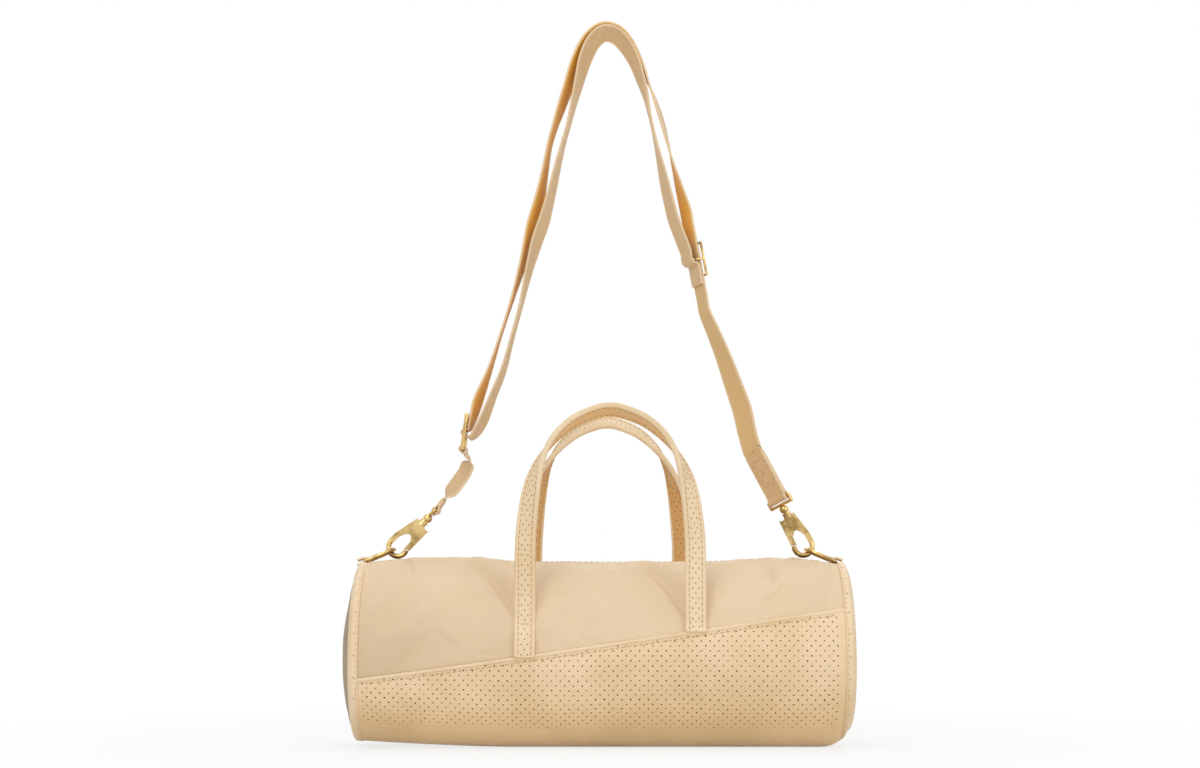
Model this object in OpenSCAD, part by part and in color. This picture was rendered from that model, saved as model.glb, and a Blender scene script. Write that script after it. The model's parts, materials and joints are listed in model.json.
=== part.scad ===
// Barrel crossbody bag: a round padded body with a diagonal perforated leather wrap, two top
// handles, a zip along the top and an adjustable shoulder strap on two snap hooks.
// Origin: middle of the footprint. +X along the bag, -Y the front, +Z up. Millimetres and degrees.

/* [Body] */
// Length of the body between its two end seams
body_len = 292; // [250:1:330]
// Outside radius of the round nylon skin
body_r = 56; // [52:0.5:62]
// How much of the round is flattened into the base
base_sink = 3; // [1:0.5:6]
// Thickness of the padded skin
skin_t = 2; // [1.6:0.1:2.6]
// How far the leather stands proud of the nylon
leather_proud = 0.5; // [0.3:0.1:1]
// How far each end panel bulges past its seam
end_bulge = 9.5; // [6:0.5:13]
// Height of the diagonal seam halfway along the bag
seam_mid_z = 61; // [56:0.5:64]
// Slope of the diagonal seam, in degrees
seam_slope = 8.3; // [4:0.1:9]
// Height at which the base panel meets the perforated panels
base_top_z = 11; // [8:0.5:16]
// Width of the folded lip along the diagonal seam
lip_w = 1.6; // [1:0.1:3]
// Width of the leather binding round each end
binding_w = 6; // [4:0.5:9]
// Thickness of the leather binding
binding_t = 1.2; // [0.8:0.1:1.6]
// Thickness of the lining
lining_t = 0.8; // [0.5:0.1:1.2]
// Thickness of the stiff board in the base
board_t = 2; // [1:0.5:3]

/* [Zip] */
// Width of the gap between the top panels that shows the zip
zip_gap = 12; // [11.5:0.5:14]
// Distance from the middle of the bag to the closed end of the zip
zip_right = 118; // [112:1:122]
// Distance from the middle of the bag to the open end of the zip
zip_left = 104; // [90:1:108]
// Distance from one tooth of the zip to the next
tooth_pitch = 2.4; // [2:0.1:3.2]
// Height of the teeth
tooth_h = 1.6; // [1.2:0.1:1.8]
// Width of the closed teeth, both rows
teeth_w = 6; // [5:0.2:7]
// Thickness of the zip tapes
tape_t = 0.6; // [0.4:0.1:0.8]
// Length of the slider
slider_len = 11; // [9:0.5:12]
// Length of the pull
pull_len = 11; // [8:0.5:12]

/* [Handles] */
// Distance between the middles of a handle's two legs
handle_spread = 99; // [86:1:110]
// How far both handles sit to the right of the middle
handle_shift = 6; // [0:1:10]
// How much closer together the back handle's legs stand than the front one's
back_legs_closer = 5; // [0:1:8]
// How much further to the right the back handle stands than the front one
back_legs_further = -1.5; // [-3:0.5:3]
// Width of the handle strip
handle_w = 12.5; // [10:0.5:14]
// Thickness of the handle strip
handle_t = 3.6; // [3:0.1:4.2]
// Thickness of the sewn-down tails of the handles
anchor_t = 2; // [1.4:0.1:2.2]
// Height of the handle roots above the body's axis
root_rise = 25; // [22:0.5:28]
// Height of a handle above its roots
handle_rise = 120; // [90:1:130]
// How far the top of a handle leans in over the bag
handle_lean = 4; // [0:0.5:10]

/* [Rings and hooks] */
// Distance from each end seam in to the ring's straight bar
bar_inset = 4.5; // [4:0.1:6]
// Radius of the ring wire
ring_wire_r = 1.2; // [1:0.05:1.3]
// Clear width of each ring
ring_inner_w = 13; // [12.8:0.1:15]
// Distance from the ring's bar to its tip
ring_reach = 18.5; // [17:0.5:20]
// Angle at which the rings stand up from the bag, in degrees
ring_lean = 23; // [20:0.5:26]
// Angle of the left hook above the horizontal
left_hook_angle = 43; // [38:0.5:50]
// Angle of the right hook above the horizontal
right_hook_angle = 62; // [56:0.5:66]
// Radius of the hook's round bow, to the middle of its metal
bow_r = 5.5; // [5.2:0.1:6]
// Radius of the metal of the bow
bow_wire_r = 1.6; // [1.4:0.05:1.7]
// Thickness of the hook's plate
plate_t = 3.6; // [3.2:0.1:4]
// Thickness of the gate
gate_t = 1.6; // [1.4:0.1:1.8]
// Radius of the gate's pin
pin_r = 0.8; // [0.6:0.05:0.9]
// Radius of the swivel's neck
post_r = 1.2; // [1:0.05:1.3]

/* [Strap] */
// Width of the webbing
web_w = 15; // [13:0.5:15]
// Thickness of the webbing
web_t = 1.2; // [1:0.1:1.4]
// Height of the strap's top above the rings
strap_rise = 320; // [280:1:360]
// Radius of the wire of the strap's metal loops
loop_wire_r = 1.2; // [1:0.05:1.3]
// Length of the sewn double end at the right hook
right_tail_len = 30; // [24:1:34]
// How far the right hook's swivel eye has turned out of the strap's plane, in degrees
right_eye_turn = 45; // [30:5:60]
// Length of the adjuster along the strap
glide_len = 20; // [18:0.5:22]

/* [Hidden] */

// Fineness of large and small rounds
big_fn = 120;
small_fn = 48;
// Clearance between pieces that only lie against each other
fit_gap = 0.1;
// Clearance round pieces that move
run_gap = 0.3;
// Clearance of pins in their bores
pin_gap = 0.05;
// Reach of cutting blocks past whatever they cut
reach = 2 * body_len;
side_names = [-1, 1];

nylon = [0.87, 0.76, 0.63];
leather = [0.83, 0.72, 0.57];
strap_tan = [0.82, 0.66, 0.45];
gold = [0.82, 0.66, 0.33];
cloth = [0.62, 0.54, 0.44];

// Body
axis_z = body_r - base_sink;
half_len = body_len / 2;
leather_r = body_r + leather_proud;
skin_in_r = body_r - skin_t;
lip_t = leather_proud;

// Zip, as it lies under the edges of the top panels
tape_lap = 3.5;
tape_edge = 1.2;
tape_in_r = skin_in_r - fit_gap - tape_t;
tape_top_z = axis_z + tape_in_r + tape_t;
teeth_z = tape_top_z + fit_gap;
stop_len = 3;

// Unit frames and general shapes

module along_x(x0, x1) {
    translate([x0, 0, 0]) rotate([90, 0, 90]) linear_extrude(x1 - x0) children();
}

// Cross-section of the body at one radius: a round with a flat floor
module round_section(r, floor_z) {
    intersection() {
        translate([0, axis_z]) circle(r = r, $fn = big_fn);
        translate([-reach, floor_z]) square([2 * reach, reach]);
    }
}

module skin_section(r_out, r_in, floor_out, floor_in) {
    difference() {
        round_section(r_out, floor_out);
        round_section(r_in, floor_in);
    }
}

// Everything on one side of the bag: side -1 is the front
module beyond_y(side, y0) {
    translate([-reach, side > 0 ? y0 : -reach - y0, -reach]) cube([2 * reach, reach, 2 * reach]);
}

// Everything above the slanted plane of the diagonal seam
module above_seam(lift) {
    translate([0, 0, seam_mid_z]) rotate([0, -seam_slope, 0])
        translate([-reach, -reach, lift]) cube([2 * reach, 2 * reach, reach]);
}

module above_z(z0) {
    translate([-reach, -reach, z0]) cube([2 * reach, 2 * reach, reach]);
}

// Shape drawn in the XZ plane with its thickness along Y, centred
module standing(t) {
    rotate([90, 0, 0]) linear_extrude(t, center = true) children();
}

module rod_y(r, len) {
    rotate([90, 0, 0]) cylinder(r = r, h = len, center = true, $fn = small_fn);
}

module ball(r) {
    sphere(r = r, $fn = small_fn);
}

module for_side(side) {
    if (side < 0) children();
    else mirror([1, 0, 0]) children();
}

// Skin, base and lining

module upper_panel(side) {
    color(nylon) intersection() {
        along_x(-half_len, half_len) skin_section(body_r, skin_in_r, 0, skin_t);
        above_seam(0);
        beyond_y(side, zip_gap / 2);
    }
}

module perforated_panel(side) {
    color(leather) difference() {
        intersection() {
            along_x(-half_len, half_len) skin_section(leather_r + lip_t, skin_in_r, 0, skin_t);
            beyond_y(side, 0);
            above_z(base_top_z);
        }
        above_seam(0);
        difference() {
            along_x(-reach, reach) skin_section(leather_r + 2 * lip_t, leather_r, -skin_t, 0);
            // The lip runs from one binding to the other
            intersection() {
                above_seam(-lip_w);
                along_x(-half_len + binding_w + fit_gap, half_len - binding_w - fit_gap)
                    round_section(leather_r + 2 * lip_t, -skin_t);
            }
        }
    }
}

module base_panel() {
    color(leather) difference() {
        along_x(-half_len, half_len) skin_section(leather_r, skin_in_r, 0, skin_t);
        above_z(base_top_z);
    }
}

// The end panels are dishes cut from a large ball
rim_t = 1.5;
dome_h = end_bulge - rim_t;
dome_r = (leather_r * leather_r + dome_h * dome_h) / (2 * dome_h);
dome_x = half_len + end_bulge - dome_r;

module dome_ball(extra) {
    translate([-dome_x, 0, axis_z]) sphere(r = dome_r + extra, $fn = big_fn);
}

module end_panel(side) {
    color(cloth) for_side(side) difference() {
        intersection() {
            dome_ball(0);
            along_x(-half_len - end_bulge - skin_t, -half_len) round_section(leather_r, 0);
        }
        dome_ball(-skin_t);
    }
}

// Folded leather round the end seam: a band on the body and a narrower lip on the end
binding_in_r = leather_r + fit_gap;
end_lip_w = 4;
module end_binding(side) {
    color(leather) for_side(side) difference() {
        intersection() {
            dome_ball(fit_gap + binding_t);
            along_x(-half_len - end_bulge - skin_t, -half_len + binding_w)
                round_section(binding_in_r + binding_t, 0);
        }
        intersection() {
            dome_ball(fit_gap);
            along_x(-reach, reach) round_section(binding_in_r, -skin_t);
        }
        along_x(-reach, 0) round_section(leather_r - end_lip_w, end_lip_w);
        // Room for the ring and its tab at the top
        translate([-half_len - binding_t, -ring_half_w - run_gap, axis_z])
            cube([reach, 2 * (ring_half_w + run_gap), reach]);
    }
}

lining_r = tape_in_r - fit_gap;
lining_floor = skin_t + board_t + 3 * fit_gap;
lining_slot = zip_gap + 2 * tape_lap;
module lining() {
    color(cloth) difference() {
        along_x(-half_len + fit_gap, half_len - fit_gap) round_section(lining_r, lining_floor);
        along_x(-half_len + fit_gap + lining_t, half_len - fit_gap - lining_t)
            round_section(lining_r - lining_t, lining_floor + lining_t);
        translate([-half_len + lining_slot, -lining_slot / 2, axis_z])
            cube([body_len - 2 * lining_slot, lining_slot, reach]);
    }
}

board_half_w = 18;
module base_board() {
    color(cloth) translate([-half_len + binding_w, -board_half_w, skin_t + fit_gap])
        cube([body_len - 2 * binding_w, 2 * board_half_w, board_t]);
}

// Zip: two tapes under the panels' edges, two rows of meshing teeth, and a slider with its pull

module zip_tapes() {
    color(cloth) intersection() {
        along_x(-half_len + binding_w, half_len - binding_w)
            skin_section(tape_in_r + tape_t, tape_in_r, 0, 0);
        for (side = side_names)
            translate([-reach, side > 0 ? tape_edge : -tape_edge - zip_gap / 2 - tape_lap + tape_edge, axis_z])
                cube([2 * reach, zip_gap / 2 + tape_lap - tape_edge, reach]);
    }
}

// One row of teeth seen from above: a straight back and fingers that reach past the middle
tooth_reach = teeth_w / 6;
tip_reach = tooth_reach - 2 * fit_gap;
tooth_fit_share = 0.06;
function tooth_row(count) = concat(
    [[0, teeth_w / 2], [0, tooth_reach]],
    [for (k = [0 : count - 1]) each [
        [(k + tooth_fit_share) * tooth_pitch, tooth_reach],
        [(k + 0.14) * tooth_pitch, -tip_reach],
        [(k + 0.36) * tooth_pitch, -tip_reach],
        [(k + 0.5 - tooth_fit_share) * tooth_pitch, tooth_reach]]],
    [[count * tooth_pitch, tooth_reach], [count * tooth_pitch, teeth_w / 2]]);

teeth_count = floor((zip_left + zip_right - 2 * stop_len) / tooth_pitch);
module zip_teeth() {
    color(gold) translate([-zip_left + stop_len, 0, teeth_z]) linear_extrude(tooth_h) {
        polygon(tooth_row(teeth_count));
        translate([teeth_count * tooth_pitch, 0]) rotate(180) polygon(tooth_row(teeth_count));
    }
}

module zip_stops() {
    stop_w = teeth_w + 2 * slider_wall;
    color(gold) for (x = [-zip_left, -zip_left + teeth_count * tooth_pitch + stop_len + 2 * fit_gap])
        translate([x - fit_gap, -stop_w / 2, teeth_z]) cube([stop_len, stop_w, tooth_h]);
}

slider_x = zip_right - stop_len - slider_len / 2 - tooth_pitch;
slider_wall = 1.1;
slider_w = teeth_w + 2 * (run_gap + slider_wall);
slider_top_z = teeth_z + tooth_h + run_gap + slider_wall;
pull_axis_z = slider_top_z + slider_wall;
pull_pin_r = 0.7;
module zip_slider() {
    color(gold) difference() {
        union() {
            translate([slider_x, 0, teeth_z + run_gap]) linear_extrude(slider_top_z - teeth_z - run_gap) {
                translate([-slider_len / 2, -slider_w / 2]) square([slider_len * 0.6, slider_w]);
                intersection() {
                    translate([-slider_len / 2, -slider_w / 2]) square([slider_len, slider_w]);
                    translate([-slider_len * 0.1, 0]) circle(r = slider_len * 0.6, $fn = small_fn);
                }
            }
            // Two lugs that hold the pull's pin
            for (side = side_names) translate([slider_x, side * (pull_w / 2 - pull_eye_w / 2), pull_axis_z])
                standing(pull_eye_w - 2 * run_gap) {
                    circle(r = slider_wall, $fn = small_fn);
                    translate([-slider_wall, -slider_wall - slider_wall / 2])
                        square([2 * slider_wall, slider_wall + slider_wall / 2]);
                }
        }
        translate([-reach, -teeth_w / 2 - run_gap, teeth_z - reach])
            cube([2 * reach, teeth_w + 2 * run_gap, reach + tooth_h + run_gap]);
        translate([slider_x, 0, pull_axis_z]) rod_y(pull_pin_r + pin_gap, reach);
    }
}

pull_w = 6;
pull_eye_w = 2.2;
pull_t = 1.2;
module zip_pull() {
    color(gold) translate([slider_x, 0, pull_axis_z]) {
        rod_y(pull_pin_r, pull_w);
        difference() {
            union() {
                standing(pull_w - 2 * pull_eye_w) circle(r = slider_wall, $fn = small_fn);
                translate([0, 0, -pull_t / 2]) linear_extrude(pull_t) {
                    translate([-pull_len / 2, -pull_w / 2 + pull_eye_w]) square([pull_len / 2, pull_w - 2 * pull_eye_w]);
                    pull_tag();
                }
            }
            translate([-pull_len + pull_w / 2, 0, -pull_t]) cylinder(r = pull_w / 5, h = 2 * pull_t, $fn = small_fn);
        }
    }
}

// Rounded tag of the pull
module pull_tag() {
    translate([-pull_len + pull_w / 2, 0]) circle(r = pull_w / 2, $fn = small_fn);
    translate([-pull_len + pull_w / 2, -pull_w / 3]) square([pull_len / 2 - pull_w / 6, pull_w * 2 / 3]);
}

// Handles: tails sewn on the nylon from the diagonal seam up to the roots, and two arches
root_z = axis_z + root_rise;
root_r = body_r + 2 * run_gap + handle_t / 2;
root_y = sqrt(root_r * root_r - root_rise * root_rise);
function leg_spread(side) = handle_spread - (side > 0 ? back_legs_closer : 0);
function leg_middle(side) = handle_shift + (side > 0 ? back_legs_further : 0);
function leg_x(side) = [for (way = side_names) leg_middle(side) + way * leg_spread(side) / 2];
root_angle = asin(root_rise / root_r);
tail_drop = 2.9;

module handle_anchors(side) {
    color(leather) for (x = leg_x(side)) intersection() {
        along_x(x - handle_w / 2, x + handle_w / 2)
            skin_section(body_r + fit_gap + anchor_t, body_r + fit_gap, 0, 0);
        beyond_y(side, zip_gap);
        above_seam(fit_gap);
        // Stops just below the root, square to the skin
        translate([0, 0, axis_z]) rotate([side * root_angle, 0, 0])
            translate([-reach, -reach, -reach - tail_drop]) cube([2 * reach, 2 * reach, reach]);
    }
}

// Half of the handle's arch from its root to its top: share of the half spread, share of the
// rise, and how far the strip has turned about its length, in degrees
arch_shares = [
    [1, 0, 0], [1, 0.09, 0], [1, 0.18, 2], [1, 0.27, 6], [0.995, 0.37, 13], [0.975, 0.47, 20],
    [0.945, 0.57, 31], [0.895, 0.67, 50], [0.805, 0.77, 78], [0.65, 0.865, 102], [0.42, 0.945, 114],
    [0.16, 0.99, 119]
];
arch_top_turn = 120;

// A quarter of the strip's outline, as half sizes, with its long edges rolled over
edge_roll = 1;
strip_section = [
    [handle_w / 2, -handle_t / 2 + edge_roll], [handle_w / 2, handle_t / 2 - edge_roll],
    [handle_w / 2 - edge_roll, handle_t / 2], [-handle_w / 2 + edge_roll, handle_t / 2],
    [-handle_w / 2, handle_t / 2 - edge_roll], [-handle_w / 2, -handle_t / 2 + edge_roll],
    [-handle_w / 2 + edge_roll, -handle_t / 2], [handle_w / 2 - edge_roll, -handle_t / 2]
];

// Catmull-Rom curve through a list of points
function blend4(p, t) = (2 * p[1] + (p[2] - p[0]) * t + (2 * p[0] - 5 * p[1] + 4 * p[2] - p[3]) * t * t
    + (-p[0] + 3 * p[1] - 3 * p[2] + p[3]) * t * t * t) / 2;
function near(list, i) = list[max(0, min(len(list) - 1, i))];
function smooth(list, steps) = concat(
    [for (i = [0 : len(list) - 2], k = [0 : steps - 1])
        blend4([near(list, i - 1), list[i], list[i + 1], near(list, i + 2)], k / steps)],
    [list[len(list) - 1]]);

function unit(v) = v / norm(v);
function heading(list, i) = unit(near(list, i + 1) - near(list, i - 1));

// Closed strip through rings of points, one ring for each frame [centre, width way, thickness way]
function ring_points(frames, section) = [for (f = frames, s = section) f[0] + s[0] * f[1] + s[1] * f[2]];
module swept(frames, section) {
    n = len(section);
    m = len(frames);
    polyhedron(ring_points(frames, section), concat(
        [for (i = [0 : m - 2], k = [0 : n - 1]) each [
            [i * n + k, i * n + (k + 1) % n, (i + 1) * n + (k + 1) % n],
            [i * n + k, (i + 1) * n + (k + 1) % n, (i + 1) * n + k]]],
        [for (k = [1 : n - 2]) [0, k + 1, k]],
        [for (k = [1 : n - 2]) [(m - 1) * n, (m - 1) * n + k, (m - 1) * n + k + 1]]));
}

// The arch's points [x, y, z, turn] from the left root to the right one, as on the front
function arch_point(side, s, way) = [
    leg_middle(side) + way * s[0] * leg_spread(side) / 2,
    -root_y + s[1] * handle_lean,
    root_z + s[1] * handle_rise,
    -s[2]];
arch_count = len(arch_shares);
function arch_route(side) = concat(
    [for (i = [0 : arch_count - 1]) arch_point(side, arch_shares[i], -1)],
    [arch_point(side, [0, 1, arch_top_turn], 1)],
    [for (i = [arch_count - 1 : -1 : 0]) arch_point(side, arch_shares[i], 1)]);
function place(p) = [p[0], p[1], p[2]];
function arch_frame(list, i) =
    let (t = unit(place(near(list, i + 1)) - place(near(list, i - 1))),
        out = unit([-t[2], 0, t[0]]),
        a = list[i][3])
    [place(list[i]), out * cos(a) + cross(t, out) * sin(a), cross(t, out * cos(a) + cross(t, out) * sin(a))];

module handle(side) {
    route = smooth(arch_route(side), 3);
    color(leather) mirror([0, side > 0 ? 1 : 0, 0])
        swept([for (i = [0 : len(route) - 1]) arch_frame(route, i)], strip_section);
}

// Rings: the bar lies along Y in the tab's loop, the bow leans in over the bag
ring_bow_r = ring_inner_w / 2 + ring_wire_r;
ring_half_w = ring_bow_r + ring_wire_r;
bar_x = half_len - bar_inset;
bar_z = axis_z + sqrt(body_r * body_r - zip_gap * zip_gap / 4) + run_gap + ring_wire_r;
ring_tip_x = bar_x - ring_reach * cos(ring_lean);
ring_tip_z = bar_z + ring_reach * sin(ring_lean);

module d_ring(side) {
    straight = ring_reach - ring_bow_r;
    color(gold) for_side(side) translate([-bar_x, 0, bar_z]) rotate([0, -ring_lean, 0]) {
        rod_y(ring_wire_r, 2 * ring_bow_r);
        for (s = side_names) translate([0, s * ring_bow_r, 0]) {
            ball(ring_wire_r);
            rotate([0, 90, 0]) cylinder(r = ring_wire_r, h = straight, $fn = small_fn);
        }
        translate([straight, 0, 0]) rotate([0, 0, -90]) rotate_extrude(angle = 180, $fn = small_fn)
            translate([ring_bow_r, 0]) circle(r = ring_wire_r, $fn = small_fn);
    }
}

// Leather loop round the ring's bar, sewn into the end seam
tab_w = zip_gap - 2 * run_gap;
tab_t = 1.3;
tab_r = ring_wire_r + fit_gap + tab_t;
module ring_tab(side) {
    color(leather) for_side(side) difference() {
        union() {
            translate([-bar_x, 0, bar_z]) rod_y(tab_r, tab_w);
            translate([-half_len, -tab_w / 2, bar_z - tab_r]) cube([half_len - bar_x, tab_w, tab_r]);
        }
        translate([-bar_x, 0, bar_z]) rod_y(ring_wire_r + fit_gap, reach);
    }
}

// Snap hook, drawn with x along it from the ring's wire, z across it and its spine upwards
hook_gap = run_gap;
bow_a = bow_r - ring_wire_r - hook_gap - bow_wire_r;
bow_l = -0.4;
nose_angle = 297;
plate_end = 23;
pin_a = 19.9;
pin_l = -0.6;
neck_r = 2.6;
neck_end = 25.2;
post_gap = 0.08;
ball_a = 27.4;
ball_r = 2.8;
eye_low = 30.6;
eye_high = 34.4;
eye_wire_r = 1;
eye_half_w = web_w / 2 + run_gap + eye_wire_r;
cheek_gap = 0.2;

module hook_place(side) {
    for_side(side) translate([-ring_tip_x, 0, ring_tip_z])
        rotate([0, side < 0 ? -left_hook_angle : -right_hook_angle, 0]) children();
}

module hook_body(side) {
    spine_l = bow_l + bow_r;
    color(gold) hook_place(side) difference() {
        union() {
            translate([bow_a, 0, bow_l]) rotate([90, 0, 0]) rotate([0, 0, 90])
                rotate_extrude(angle = nose_angle - 90, $fn = small_fn)
                    translate([bow_r, 0]) circle(r = bow_wire_r, $fn = small_fn);
            standing(plate_t) polygon([
                [bow_a, spine_l - bow_wire_r], [bow_a, spine_l + bow_wire_r],
                [bow_a + bow_r, spine_l + bow_wire_r], [plate_end, neck_r + bow_wire_r],
                [plate_end, -bow_wire_r], [pin_a + pin_r, pin_l - 3 * bow_wire_r],
                [pin_a - bow_r - 3 * bow_wire_r + pin_r, neck_r], [bow_a + bow_r, spine_l - bow_wire_r]]);
            translate([pin_a + bow_wire_r, 0, 0]) rotate([0, 90, 0])
                cylinder(r = neck_r, h = neck_end - pin_a - bow_wire_r, $fn = small_fn);
        }
        // Slot between the cheeks, where the gate swings in
        standing(gate_t + 2 * cheek_gap) polygon([
            [bow_a + bow_r, spine_l - bow_wire_r], [pin_a + 2, neck_r],
            [pin_a + 2, -bow_r - 2 * bow_wire_r], [bow_a + bow_r, -bow_r - 2 * bow_wire_r]]);
        translate([pin_a, 0, pin_l]) rod_y(pin_r + pin_gap / 2, reach);
        // Chamber for the head of the neck, and its bore
        translate([pin_a + 2 + 2 * fit_gap + pin_r, 0, 0]) rotate([0, 90, 0])
            cylinder(r = post_r + 0.4 * post_r + post_gap, h = post_r + 2 * fit_gap, $fn = small_fn);
        translate([plate_end, 0, 0]) rotate([0, 90, 0])
            cylinder(r = post_r + post_gap, h = neck_end, $fn = small_fn);
    }
}

module hook_gate(side) {
    color(gold) hook_place(side) difference() {
        union() {
            standing(gate_t) polygon([
                [4.6, -3.7], [6, -6.9], [22.5, -6.1], [21.6, -4.4], [21.3, 0.9],
                [19.9, 1.5], [17, 1.4], [13, 0.6], [12.6, -1.1], [10.3, -3.3]]);
            standing(2 * bow_wire_r - 2 * fit_gap) polygon([
                [4.6, -3.7], [6, -6.9], [21, -6.2], [15, -5], [10.3, -3.3]]);
        }
        translate([pin_a, 0, pin_l]) rod_y(pin_r + pin_gap, reach);
    }
}

module gate_pin(side) {
    color(gold) hook_place(side) translate([pin_a, 0, pin_l]) rod_y(pin_r, plate_t + 2 * cheek_gap);
}

// Leaf spring between the spine and the gate
module gate_spring(side) {
    color(gold) hook_place(side) standing(gate_t - 2 * fit_gap) polygon([
        [21.6, 1.9], [21.6, 2.4], [16, 2.9], [12.8, 1.3], [13.1, 1], [16, 2.4]]);
}

module eye_rods(half_w) {
    for (a = [eye_low, eye_high]) translate([a, 0, 0]) rod_y(eye_wire_r, 2 * half_w);
    for (s = side_names, a = [eye_low, eye_high]) translate([a, s * half_w, 0]) ball(eye_wire_r);
    for (s = side_names) translate([eye_low, s * half_w, 0]) rotate([0, 90, 0])
        cylinder(r = eye_wire_r, h = eye_high - eye_low, $fn = small_fn);
}

module swivel_eye(side) {
    head_a = pin_a + 2 + 2 * fit_gap + pin_r + fit_gap;
    color(gold) hook_place(side) union() {
        translate([head_a, 0, 0]) rotate([0, 90, 0])
            cylinder(r = post_r + 0.4 * post_r, h = post_r, $fn = small_fn);
        translate([head_a, 0, 0]) rotate([0, 90, 0])
            cylinder(r = post_r, h = ball_a - head_a, $fn = small_fn);
        difference() {
            translate([ball_a, 0, 0]) ball(ball_r);
            translate([neck_end + run_gap - reach, -reach / 2, -reach / 2]) cube([reach, reach, reach]);
        }
        rotate([side < 0 ? 0 : -right_eye_turn, 0, 0]) eye_rods(eye_half_w);
    }
}

// Webbing folded round a bar at the origin: a ring and a double tail along +x, width along y
module folded_end(bar_r, tail_len) {
    in_r = bar_r + fit_gap;
    standing(web_w) difference() {
        union() {
            circle(r = in_r + web_t, $fn = small_fn);
            translate([0, -web_t]) square([tail_len, 2 * web_t]);
        }
        circle(r = in_r, $fn = small_fn);
    }
}

// Strap: a strip of webbing in the upright plane of the bag, with the shares below measured from
// the tip of the ring, across by the ring's distance from the middle and up by the strap's rise

function strap_at(s) = [s[0] * ring_tip_x, ring_tip_z + s[1] * strap_rise, s[2]];

// Square ring: its top and lowest bars, and how far down between them the middle one lies
ring_bar_shares = [[-0.648, 0.254, 0], [-0.668, 0.189, 0]];
ring_mid_share = 0.52;
top_bar = strap_at(ring_bar_shares[0]);
low_bar = strap_at(ring_bar_shares[1]);
mid_bar = top_bar + ring_mid_share * (low_bar - top_bar);
frame_half_w = web_w / 2 + run_gap + loop_wire_r;
mid_bar_share = 0.9;

// Adjuster: a straight stretch of the strap that it slides along
glide_at_shares = [0.469, 0.550, 22];
glide_lean = 10.4;
glide_at = strap_at(glide_at_shares);
glide_way = [sin(glide_lean), -cos(glide_lean)];
glide_out = [cos(glide_lean), sin(glide_lean)];
straight_step = 8;
glide_wire_r = 0.8;
fold_x = -(web_t / 2 + run_gap / 2 + web_t + fit_gap + glide_wire_r);
glide_end_x = web_t / 2 + cheek_gap + glide_wire_r;
return_off = (fold_x - glide_wire_r - fit_gap - web_t / 2) / cos(glide_at_shares[2]);

// From the square ring over the top and down to the adjuster
rising_shares = [
    [-0.634, 0.232, 6], [-0.614, 0.258, 14], [-0.595, 0.284, 18], [-0.541, 0.341, 6],
    [-0.488, 0.407, 0], [-0.434, 0.474, 2], [-0.380, 0.546, 12], [-0.336, 0.616, 24],
    [-0.302, 0.664, 22], [-0.283, 0.701, 15], [-0.266, 0.739, 10], [-0.249, 0.777, 7],
    [-0.222, 0.815, 9], [-0.190, 0.853, 15], [-0.157, 0.891, 20], [-0.122, 0.929, 28],
    [-0.083, 0.963, 32], [-0.036, 0.988, 27], [0.022, 1, 20], [0.088, 0.993, 18],
    [0.146, 0.970, 15], [0.200, 0.935, 6], [0.247, 0.893, -5], [0.284, 0.853, -12],
    [0.313, 0.815, -12], [0.337, 0.777, -7], [0.360, 0.739, 0], [0.386, 0.701, 10]
];
// From the adjuster down to the sewn end at the right hook
falling_shares = [
    [0.556, 0.414, 27], [0.6025, 0.369, 33], [0.649, 0.3175, 41], [0.695, 0.265, 47],
    [0.719, 0.222, 45]
];
// From the square ring over the top, inside the first layer, to the adjuster
return_shares = [
    [-0.629, 0.211, 5], [-0.600, 0.224, 14], [-0.568, 0.247, 17], [-0.527, 0.288, 12],
    [-0.473, 0.341, 8], [-0.434, 0.398, 4], [-0.390, 0.464, 4], [-0.351, 0.531, 12],
    [-0.312, 0.588, 22], [-0.278, 0.626, 23], [-0.252, 0.664, 18], [-0.229, 0.701, 14],
    [-0.207, 0.739, 10], [-0.183, 0.777, 6], [-0.157, 0.815, 5], [-0.131, 0.853, 10],
    [-0.100, 0.891, 18], [-0.066, 0.926, 30], [-0.028, 0.953, 44], [0.018, 0.971, 54],
    [0.063, 0.972, 53], [0.108, 0.958, 45], [0.151, 0.934, 31], [0.190, 0.906, 18],
    [0.222, 0.875, 8], [0.242, 0.845, 2], [0.259, 0.813, 0], [0.278, 0.777, 3],
    [0.299, 0.739, 10], [0.320, 0.701, 17], [0.342, 0.664, 20], [0.366, 0.628, 22]
];
// The short tab between the square ring and the left hook
tab_shares = [[-0.645, 0.162, 15], [-0.659, 0.147, 35], [-0.693, 0.127, 50], [-0.728, 0.109, 30]];

// Frame of the strip at a point of a route [x, z, turn]: the turn shows its inner face
function strip_frame(list, i) =
    let (d = unit([near(list, i + 1)[0] - near(list, i - 1)[0], near(list, i + 1)[1] - near(list, i - 1)[1]]),
        out = [-d[1], 0, d[0]],
        a = list[i][2])
    [[list[i][0], 0, list[i][1]],
        [0, cos(a), 0] - out * sin(a),
        out * cos(a) + [0, sin(a), 0]];

web_section = [[web_w / 2, -web_t / 2], [web_w / 2, web_t / 2], [-web_w / 2, web_t / 2], [-web_w / 2, -web_t / 2]];
module strip(route, steps) {
    path = smooth(route, steps);
    swept([for (i = [0 : len(path) - 1]) strip_frame(path, i)], web_section);
}

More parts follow.
